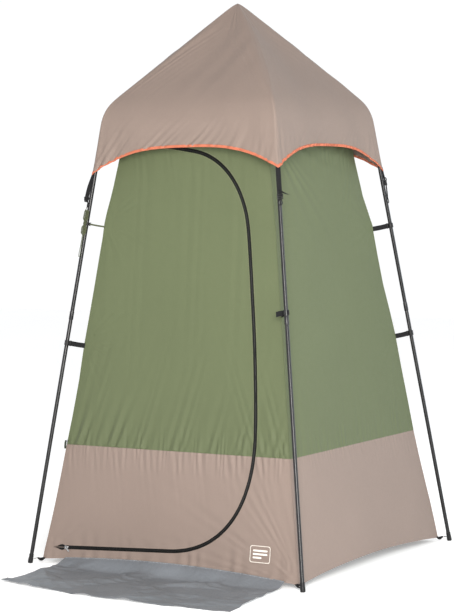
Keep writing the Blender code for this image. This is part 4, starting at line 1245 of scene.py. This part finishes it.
def make_leg_straps():
    for name, (corner, z, half_width) in STRAPS.items():
        matrix, node = leg_frame(corner, z), "leg_strap_" + name
        reach = math.sqrt(2) * (leg_half(z) - float(edge_half(z, corner))) + 0.003
        web = straight((0.0150, 0, 0), (reach, 0, 0), 10, 0.0006)
        web[:, 1] += 0.0016 * np.sin(np.linspace(0, 5, len(web)))
        fold = [(0.0150 + 0.0016 * math.cos(a), 0.0020 * math.sin(a), 0) for a in np.linspace(0.4, 5.9, 14)]
        tail = straight((0.0160, 0.0018, 0), (0.0300, 0.0012, -0.0005), 5)
        parts = [band(web, half_width, 0.0008, corner=0.8), band(fold, half_width, 0.0006),
                 band(tail, half_width, 0.0006)]
        if name == "lower_front_right":
            t = np.linspace(0, 1, 12)
            loose = np.stack((0.0125 + 0.008 * t ** 2, 0.0085 + 0.024 * t, -0.004 * t ** 2), axis=1)
            parts.append(band(loose, half_width, 0.0007))
        material = OLIVE if half_width < 0.005 else WEBBING
        add_piece("strap_" + name, moved(merge(parts), matrix), material, "webbing", node)
        hold = max(half_width, 0.0055)
        angles = np.radians(np.linspace(CLIP_HALF_ARC, -CLIP_HALF_ARC, 29))
        hook = np.stack((0.0096 * np.cos(angles), 0.0096 * np.sin(angles), 0 * angles), axis=1)
        bead = turned([(0, hold), (0.0012, hold), (0.0021, hold - 0.0009), (0.0021, 0.0009 - hold),
                       (0.0012, -hold), (0, -hold)], 12)
        beads = [shifted(bead, 0.0100 * math.cos(a), 0.0100 * math.sin(a)) for a in (angles[-1], angles[0])]
        bar = shifted(rounded_block((0.0035, 0.0050, 2 * hold + 0.002), 0.0009), 0.0118)
        post = rounded_block((0.0060, 0.0036, 0.0018), 0.0006)
        posts = [shifted(post, 0.0140, 0, s * (hold + 0.0002)) for s in (-1, 1)]
        clip = merge([band(hook, hold, 0.0015, corner=0.9), *beads, bar, *posts])
        add_piece("clip_" + name, moved(clip, matrix), PLASTIC, "webbing", node)


HEM_STRAP_TOP = 1.4735
HEM_STRAP_OUT = POLE_RADIUS + 0.0013
# Each ladder-lock's place below the hem, how far the slack strap stands off the leg, how many degrees it
# has twisted about its own length, and how far its loose end sticks out sideways
LOCKS = {"front_left": (-0.087, 0.0078, 58, 0.000), "front_right": (-0.084, 0.0012, 0, -0.031),
         "back_right": (-0.036, 0.0030, 0, -0.020), "back_left": (-0.060, 0.0020, 0, 0.020)}


def outside_leg(corner, z, out):
    """Against the leg's outer side at height z: +X across the leg, +Y up along it, +Z inward."""
    place = leg_frame(corner, z)
    inward, across, up = (place.col[i].to_3d() for i in range(3))
    return basis(across, up, inward, place.translation - inward * out)


def twisted(part, turn, line):
    """A part turned about a line that runs down it, most in the middle of the line and not at its ends."""
    points, faces = part
    points = np.array(points, dtype=float)
    top, bottom = line[0, 1], line[-1, 1]
    share = (top - points[:, 1]) / (top - bottom)
    angle = math.radians(turn) * step(0.0, 0.55, share) * step(1.0, 0.93, share)
    centre = np.interp(-points[:, 1], -line[:, 1], line[:, 2])
    x, z = points[:, 0].copy(), points[:, 2] - centre
    points[:, 0] = x * np.cos(angle) + z * np.sin(angle)
    points[:, 2] = centre - x * np.sin(angle) + z * np.cos(angle)
    return points, faces


def make_hem_straps():
    """Webbing from the canopy's corner down the leg, a ladder-lock with its loose tail, and a ring below."""
    for corner, (drop, lean, turn, loose_end) in LOCKS.items():
        matrix, node = outside_leg(corner, HEM_STRAP_TOP, HEM_STRAP_OUT), "hem_strap_" + corner
        t = np.linspace(0, 1, 15)
        upper = np.stack((0 * t, 0.026 + (drop - 0.026) * t, -lean * np.sin(math.pi * t / 2) ** 2), axis=1)
        z_lock = -lean - 0.0012
        end = min(drop - 0.014, -0.0985)
        lower = np.stack((0 * t, drop + 0.004 + (end - drop - 0.004) * t, z_lock * (1 - t ** 2)), axis=1)
        fold = [(0, end - 0.0018 * math.cos(a), 0.0016 * math.sin(a)) for a in np.linspace(-1.5, 1.5, 9)]
        loose = np.stack((loose_end * t ** 1.3, drop + 0.020 - 0.024 * t + 0.008 * t ** 3,
                          z_lock - 0.0030 - 0.23 * abs(loose_end) * np.sin(math.pi * t * 0.9)), axis=1)
        line = np.concatenate((upper, lower[5:]))
        runs = ((upper, 0.0085, 0.0008), (lower, 0.0065, 0.0008), (fold, 0.0065, 0.0006),
                (loose, 0.0055, 0.0006))
        web = merge([band(*run, (1, 0, 0), 0.8) for run in runs])
        add_piece("hem_webbing_" + corner, moved(twisted(web, turn, line), matrix), WEBBING, "webbing", node)
        bar = rounded_block((0.0205, 0.0034, 0.0034), 0.0012)
        rail = rounded_block((0.0032, 0.0200, 0.0040), 0.0012)
        bars = [shifted(bar, 0, y, z_lock) for y in (drop + 0.006, drop - 0.002, drop - 0.010)]
        rails = [shifted(rail, s * 0.0096, drop - 0.002, z_lock) for s in (-1, 1)]
        lock = twisted(merge([*bars, *rails]), turn, line)
        add_piece("ladder_lock_" + corner, moved(lock, matrix), PLASTIC, "webbing", node)
        eye = shifted(ring_wire(0.0082, 0.0018), 0, -0.1085)
        add_piece("guy_ring_" + corner, moved(eye, matrix), PLASTIC, "webbing", node, smooth_deg=60)


# Guy rope -------------------------------------------------------------------------------------------------
ROPE = 0.0025               # diameter of the guy rope
HANK_TOP = 1.347
HANK_OUT = 0.0104           # from the leg's axis outward
HANK_ASIDE = -0.0160        # the hank hangs beside the leg, toward the front
HANK_TURN = 66              # degrees that it's turned about its own length
WRAP_DEPTH = -0.050         # where the rope is wound round its own hank
HANK_BOTTOM = -0.086
NESTED_TURNS = 4            # turns lying one inside another, side by side
LOOP_BOTTOM = -0.178        # the last turn hangs lower


def turn_place(y, turn):
    """(half width, depth) of a turn at height y: side by side, but stacked where they are wrapped."""
    pinch = math.exp(-((y - WRAP_DEPTH) / 0.013) ** 4)
    if turn == NESTED_TURNS:
        return 0.0014 + 0.0012 * math.exp(-((y - LOOP_BOTTOM - 0.012) / 0.020) ** 2), -0.0026
    stack = turn - 0.5 * (NESTED_TURNS - 1)
    wide = 0.0090 - 0.00255 * turn + 0.0004 * math.sin(150 * y)
    tight = 0.0034 - 0.0008 * (turn % 2)
    return wide + (tight - wide) * pinch, (0.0009 + 0.0013 * pinch) * stack


def hank_path():
    """Down and up in nested turns, one longer loop, three turns round the middle, and a short end."""
    top = -0.007
    points = []
    for turn in range(NESTED_TURNS + 1):
        bottom = LOOP_BOTTOM if turn == NESTED_TURNS else HANK_BOTTOM
        steps = 40
        for i in range(steps + 1):
            y = top + (bottom - top) * i / steps
            half, depth = turn_place(y, turn)
            points.append((half, y, depth))
        half, depth = turn_place(bottom, turn)
        for i in range(1, 8):
            angle = math.pi * i / 8
            points.append((half * math.cos(angle), bottom - half * math.sin(angle), depth))
        for i in range(steps + 1):
            y = bottom + (top - bottom) * i / steps
            half, depth = turn_place(y, turn)
            points.append((-half, y, depth + 0.0004))
        if turn < NESTED_TURNS:
            start, depth = turn_place(top, turn)
            end, after = turn_place(top, turn + 1)
            for i in range(1, 8):
                angle = math.pi * i / 8
                half = start + (end - start) * i / 8
                points.append((-half * math.cos(angle), top + half * math.sin(angle),
                               depth + (after - depth) * i / 8))
    last = points[-1]
    for i in range(1, 11):
        t = i / 10
        points.append((last[0] + (-0.0010 - last[0]) * t, last[1] + (WRAP_DEPTH + 0.006 - last[1]) * t,
                       last[2] + (0.0057 - last[2]) * math.sin(math.pi * t / 2)))
    for i in range(1, 3 * 16 + 1):
        angle = math.pi / 2 + math.radians(22.5) * i + 0.2
        points.append((0.0058 * math.cos(angle), WRAP_DEPTH + 0.005 - 0.0029 * i / 16,
                       0.0057 * math.sin(angle)))
    last = points[-1]
    for i in range(1, 9):
        t = i / 8
        points.append((last[0] - 0.0030 * t, last[1] - 0.050 * t, last[2] + 0.0015 * math.sin(math.pi * t)))
    return points


def make_guy_rope():
    strap = outside_leg("front_left", HEM_STRAP_TOP, HEM_STRAP_OUT)
    matrix = (outside_leg("front_left", HANK_TOP, HANK_OUT) @ Matrix.Translation((HANK_ASIDE, 0, 0))
              @ Matrix.Rotation(math.radians(HANK_TURN), 4, "Y"))
    knot = ((0, -0.1150, 0), (-0.0006, -0.1165, -0.0020), (-0.0040, -0.1240, -0.0036))
    places = [strap @ Vector(p) for p in knot] + [matrix @ Vector(p) for p in hank_path()]
    path = to_world([tuple(p) for p in places])
    curve = bpy.data.curves.new("guy_rope", "CURVE")
    curve.dimensions = "3D"
    curve.bevel_depth = ROPE / 2
    curve.bevel_resolution = 3
    curve.use_fill_caps = True
    spline = curve.splines.new("POLY")
    spline.points.add(len(path) - 1)
    for point, place in zip(spline.points, path):
        point.co = (*place, 1)
    rope = bpy.data.objects.new("guy_rope", curve)
    bpy.context.scene.collection.objects.link(rope)
    curve.materials.append(OLIVE)
    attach(rope, "root")
    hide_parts("guy_rope_hank")


TAB_LEVEL = 0.0170
TAB_ROWS, TAB_SIDES = 8, 12


def tab_plate(start, end):
    """The booth's corner tab: a webbing end that widens and swells into the wall's hem."""
    points = []
    for s in np.linspace(0, 1, TAB_ROWS):
        width = 0.0060 + 0.0090 * s ** 1.3
        thick = 0.0014 + 0.0048 * math.sin(math.pi * min(1.0, 0.15 + 0.75 * s))
        drop = 0.0050 * math.sin(math.pi * s)
        points += [(start + (end - start) * s, width * math.cos(a), thick * math.sin(a) - drop)
                   for a in circle(TAB_SIDES)]
    return np.array(points), capped(TAB_ROWS, TAB_SIDES)


def make_ground_hardware():
    for corner, (sx, sy) in CORNERS.items():
        inward, up = Vector((-sx, -sy, 0)).normalized(), Vector((0, 0, 1))
        leg = leg_half(TAB_LEVEL)
        matrix = basis(inward, up.cross(inward), up, Vector((sx * leg, sy * leg, TAB_LEVEL)))
        corner_reach = math.sqrt(2) * (leg - wall_half(TAB_LEVEL))
        ring_x = corner_reach - 0.0275
        fold = [(ring_x + 0.0062 + 0.0015 * math.cos(a), 0, 0.0018 * math.sin(a))
                for a in np.linspace(0.5, 5.8, 12)]
        tab = merge([tab_plate(ring_x + 0.0062, corner_reach + 0.004),
                     band(fold, 0.0060, 0.0006, (0, 1, 0), 0.8)])
        add_piece("corner_tab_" + corner, moved(tab, matrix), WEBBING, "webbing", "base_tab_" + corner)
        shank = turned([(0, 0.0020), (0.0011, 0.0020), (0.0014, 0.0014), (0.0014, -0.0040), (0, -0.0040)], 14)
        lying = Matrix.Translation((0.0135, 0, 0)) @ Matrix.Rotation(math.radians(90), 4, "Y")
        upright = Matrix.Translation((0.0165, 0, 0.0004)) @ Matrix.Rotation(math.radians(80), 4, "X")
        ring = merge([shifted(ring_wire(0.0064, 0.0011), ring_x), moved(shank, lying),
                      moved(ring_wire(0.0022, 0.0009, 18), upright)])
        add_piece("corner_ring_" + corner, moved(ring, matrix), STEEL, "bright_steel", "ring_pin_" + corner,
                  smooth_deg=60)


FOOT_PROFILE = [(POLE_RADIUS, 0.0345), (0.0084, 0.0345), (0.0090, 0.0338), (0.0091, 0.0300), (0.0086, 0.0294),
                (0.0086, 0.0270), (0.0091, 0.0264), (0.0091, 0.0235), (0.0086, 0.0229), (0.0086, 0.0205),
                (0.0094, 0.0199), (0.0098, 0.0050), (0.0092, 0.0012), (0.0076, -0.0002), (0, -0.0002)]


def make_feet():
    for corner in CORNERS:
        points, faces = moved(turned(FOOT_PROFILE, 28), leg_frame(corner, 0.0))
        points[:, 2] = np.maximum(points[:, 2], 0.0002)
        add_piece("foot_" + corner, (points, faces), PLASTIC, "black_plastic", "foot_cap_" + corner,
                  smooth_deg=35)


def make_hub():
    centre = Vector((0, 0, HUB_HEIGHT))
    profile = [(0.0120 * math.sin(a), 0.0120 * math.cos(a)) for a in np.linspace(0, math.pi, 17)]
    parts = [moved(turned(profile, 28), Matrix.Translation(centre))]
    rings = [(0, 0.0070), (0.0006, 0.0077), (0.004, 0.0077), (0.0046, 0.0072), (0.034, 0.0072),
             (0.054, 0.0068)]
    for corner in CORNERS:
        along = bent_leg(corner, JOINT_HEIGHT)[2]
        parts.append(pole_rings(centre - along * HUB_REACH, centre, rings))
    add_piece("hub_moulding", merge(parts), PLASTIC, "black_plastic", "apex_hub", smooth_deg=35)


# Label and toggle -----------------------------------------------------------------------------------------
LABEL_CENTRE = (0.398, 0.109)   # on the front wall, as (x, height)
LABEL_HALF = (0.044, 0.032)


def rounded_rectangle(cx, cz, w, h, r):
    loop = []
    for sx, sz, start in ((1, 1, 0), (-1, 1, 90), (-1, -1, 180), (1, -1, 270)):
        for k in range(6):
            angle = math.radians(start + 18 * k)
            loop.append((cx + sx * (w - r) + r * math.cos(angle), cz + sz * (h - r) + r * math.sin(angle)))
    return loop


def make_label():
    """A plain printed patch in the wall's own colour: a pale rounded border and three stripes."""
    (cx, cz), (w, h) = LABEL_CENTRE, LABEL_HALF
    flat, faces = cut_cloth(rounded_rectangle(cx, cz, w, h, 0.006), 0.006)
    patch = add_piece("label_cloth", outward(wall_surface("front", flat, 0.0012), faces), TAUPE,
                      "label_fabric", "label_patch", smooth_deg=180)
    thicken(patch, 0.0010)
    printed = {}
    for index, (dz, half_length) in enumerate(((0.0125, 0.030), (0.000, 0.030), (-0.0125, 0.018))):
        loop = rounded_rectangle(cx - 0.030 + half_length, cz + dz, half_length, 0.0032, 0.0012)
        flat, faces = cut_cloth(loop, 0.004)
        printed[f"stripe_{index + 1}"] = (wall_surface("front", flat, 0.0018), faces)
    border = resample(rounded_rectangle(cx, cz, w - 0.002, h - 0.002, 0.008), 0.004, closed=True)
    inner = border + (np.array((cx, cz)) - border) * np.array((0.0022 / w, 0.0022 / h))
    rings = np.stack((wall_surface("front", border, 0.0019), wall_surface("front", inner, 0.0019)), axis=1)
    count = 2 * len(border)
    faces = [(i, (i + 2) % count, (i + 3) % count, i + 1) for i in range(0, count, 2)]
    printed["border"] = (rings.reshape(-1, 3), faces)
    for name, part in printed.items():
        add_piece("label_" + name, outward(*part), LABEL, "label_fabric", smooth_deg=180)


def make_toggle():
    z = 0.4650
    seat = Vector((0.010 - float(wall_half(z)), -float(wall_half(z)), z))
    up = Vector((0, WALL_LEAN, 1)).normalized()
    outward_dir = Vector((1, 0, 0)).cross(up)
    profile = [(0, 0.0030), (0.0015, 0.0026), (0.0026, 0.0015), (0.0030, 0.0000), (0.0034, -0.0035),
               (0.0042, -0.0070), (0.0042, -0.0120), (0.0038, -0.0135), (0.0038, -0.0150), (0.0042, -0.0165),
               (0.0042, -0.0240), (0.0036, -0.0280), (0.0022, -0.0298), (0, -0.0300)]
    matrix = basis(outward_dir, up.cross(outward_dir), up, seat + outward_dir * 0.0120)
    add_piece("toggle_peg", moved(turned(profile, 24), matrix), TOGGLE_PLASTIC, "black_plastic",
              "door_toggle", body="toggle")
    loop = [tuple(seat + outward_dir * (0.0025 + 0.0055 * math.cos(a)) + up * (0.0030 * math.sin(a)))
            for a in circle(24)]
    add_piece("toggle_cord_loop", wire_loop(loop, (1, 0, 0), 0.0009), WEBBING, "webbing", "toggle_loop",
              smooth_deg=60)


# Scene ----------------------------------------------------------------------------------------------------
def make_stage():
    mesh = bpy.data.meshes.new("ground_paper")
    reach = 14.0
    mesh.from_pydata([(-reach, -reach, 0), (reach, -reach, 0), (reach, reach, 0), (-reach, reach, 0)], [],
                     [(0, 1, 2, 3)])
    floor = bpy.data.objects.new("ground_paper", mesh)
    floor.location.z = -0.0005
    bpy.context.scene.collection.objects.link(floor)
    mesh.materials.append(ground_material())


def area_light(name, place, aim, size, power, colour=(1, 1, 1)):
    light = bpy.data.lights.new(name, "AREA")
    light.shape = "RECTANGLE"
    light.size, light.size_y = size
    light.energy = power
    light.color = colour
    obj = bpy.data.objects.new(name, light)
    obj.location = place
    obj.rotation_euler = (Vector(aim) - Vector(place)).to_track_quat("-Z", "Y").to_euler()
    bpy.context.scene.collection.objects.link(obj)


def make_lights():
    """A white studio, dimmer overhead and behind the camera, and one broad key light beside the camera."""
    world = bpy.data.worlds.new("studio")
    world.use_nodes = True
    tree = world.node_tree
    background = tree.nodes["Background"]
    background.inputs["Color"].default_value = (0.99, 1.0, 1.01, 1.0)
    place = tree.nodes.new("ShaderNodeTexCoord").outputs["Generated"]
    dims = []
    for direction, start, end, dimmest in (((0, 0, 1), 0.25, 0.95, 0.70), ((0.54, -0.84, 0), 0.0, 0.8, 0.65)):
        along = tree.nodes.new("ShaderNodeVectorMath")
        along.operation = "DOT_PRODUCT"
        along.inputs[1].default_value = direction
        tree.links.new(place, along.inputs[0])
        dim = tree.nodes.new("ShaderNodeMapRange")
        dim.inputs["From Min"].default_value = start
        dim.inputs["From Max"].default_value = end
        dim.inputs["To Min"].default_value = 1.015
        dim.inputs["To Max"].default_value = dimmest
        tree.links.new(along.outputs["Value"], dim.inputs["Value"])
        dims.append(dim)
    both = tree.nodes.new("ShaderNodeMath")
    both.operation = "MULTIPLY"
    for socket, dim in zip(both.inputs, dims):
        tree.links.new(dim.outputs["Result"], socket)
    tree.links.new(both.outputs["Value"], background.inputs["Strength"])
    bpy.context.scene.world = world
    aim = (0, SETBACK, 1.0)
    area_light("key", (3.7, -5.3, 2.3), aim, (2.6, 2.6), 590, (1.0, 0.975, 0.93))
    area_light("right_fill", (5.2, 3.0, 2.2), aim, (2.6, 2.6), 95, (0.78, 0.93, 1.0))
    bpy.context.scene.view_settings.view_transform = "Standard"


# A long lens at the height of a standing person's chest, front right of the tent
CAMERA_PLACE = (4.030, -6.657, 1.387)
CAMERA_YAW = 32.56
CAMERA_DOWN = 2.83
CAMERA_ROLL = -0.80
CAMERA_FOCAL = 117.32353    # mm, on a sensor 36 mm wide
CAMERA_SHIFT = (0.0541, -0.0142)


def make_camera():
    yaw, down, roll = (math.radians(a) for a in (CAMERA_YAW, CAMERA_DOWN, CAMERA_ROLL))
    forward = Vector((-math.sin(yaw) * math.cos(down), math.cos(yaw) * math.cos(down), -math.sin(down)))
    right = Vector((math.cos(yaw), math.sin(yaw), 0))
    up = right.cross(forward)
    tilted_right = right * math.cos(roll) + up * math.sin(roll)
    tilted_up = up * math.cos(roll) - right * math.sin(roll)
    data = bpy.data.cameras.new("camera")
    data.sensor_fit = "AUTO"
    data.sensor_width = 36.0
    data.lens = CAMERA_FOCAL
    data.shift_x, data.shift_y = CAMERA_SHIFT
    data.clip_end = 100.0
    camera = bpy.data.objects.new("camera", data)
    place = Vector(CAMERA_PLACE) + Vector((0, SETBACK, 0))
    camera.matrix_world = basis(tilted_right, tilted_up, -forward, place)
    bpy.context.scene.collection.objects.link(camera)
    bpy.context.scene.camera = camera


def paint_frame_nodes():
    """CAD nodes that stay in view get the finished materials."""
    choice = {
        "foot_cap": PLASTIC, "apex_hub": PLASTIC, "door_toggle": PLASTIC, "leg_strap": WEBBING,
        "hem_strap": WEBBING, "base_tab": WEBBING, "toggle_loop": WEBBING, "zip_tape": ZIP_TAPE,
        "zip_slider": STEEL, "zip_pull": STEEL, "ring_pin": STEEL, "label_patch": LABEL,
        "guy_rope": OLIVE,
    }
    for name, node in frame["nodes"].items():
        for start, material in choice.items():
            if name.startswith(start):
                node.data.materials.clear()
                node.data.materials.append(material)


make_camera()
make_lights()
make_stage()
paint_frame_nodes()
make_plain_walls()
make_front()
make_binding(make_canopy())
make_poles()
make_flap()
make_wall_seams()
make_zip()
make_slider()
make_leg_straps()
make_hem_straps()
make_guy_rope()
make_ground_hardware()
make_feet()
make_hub()
make_label()
make_toggle()
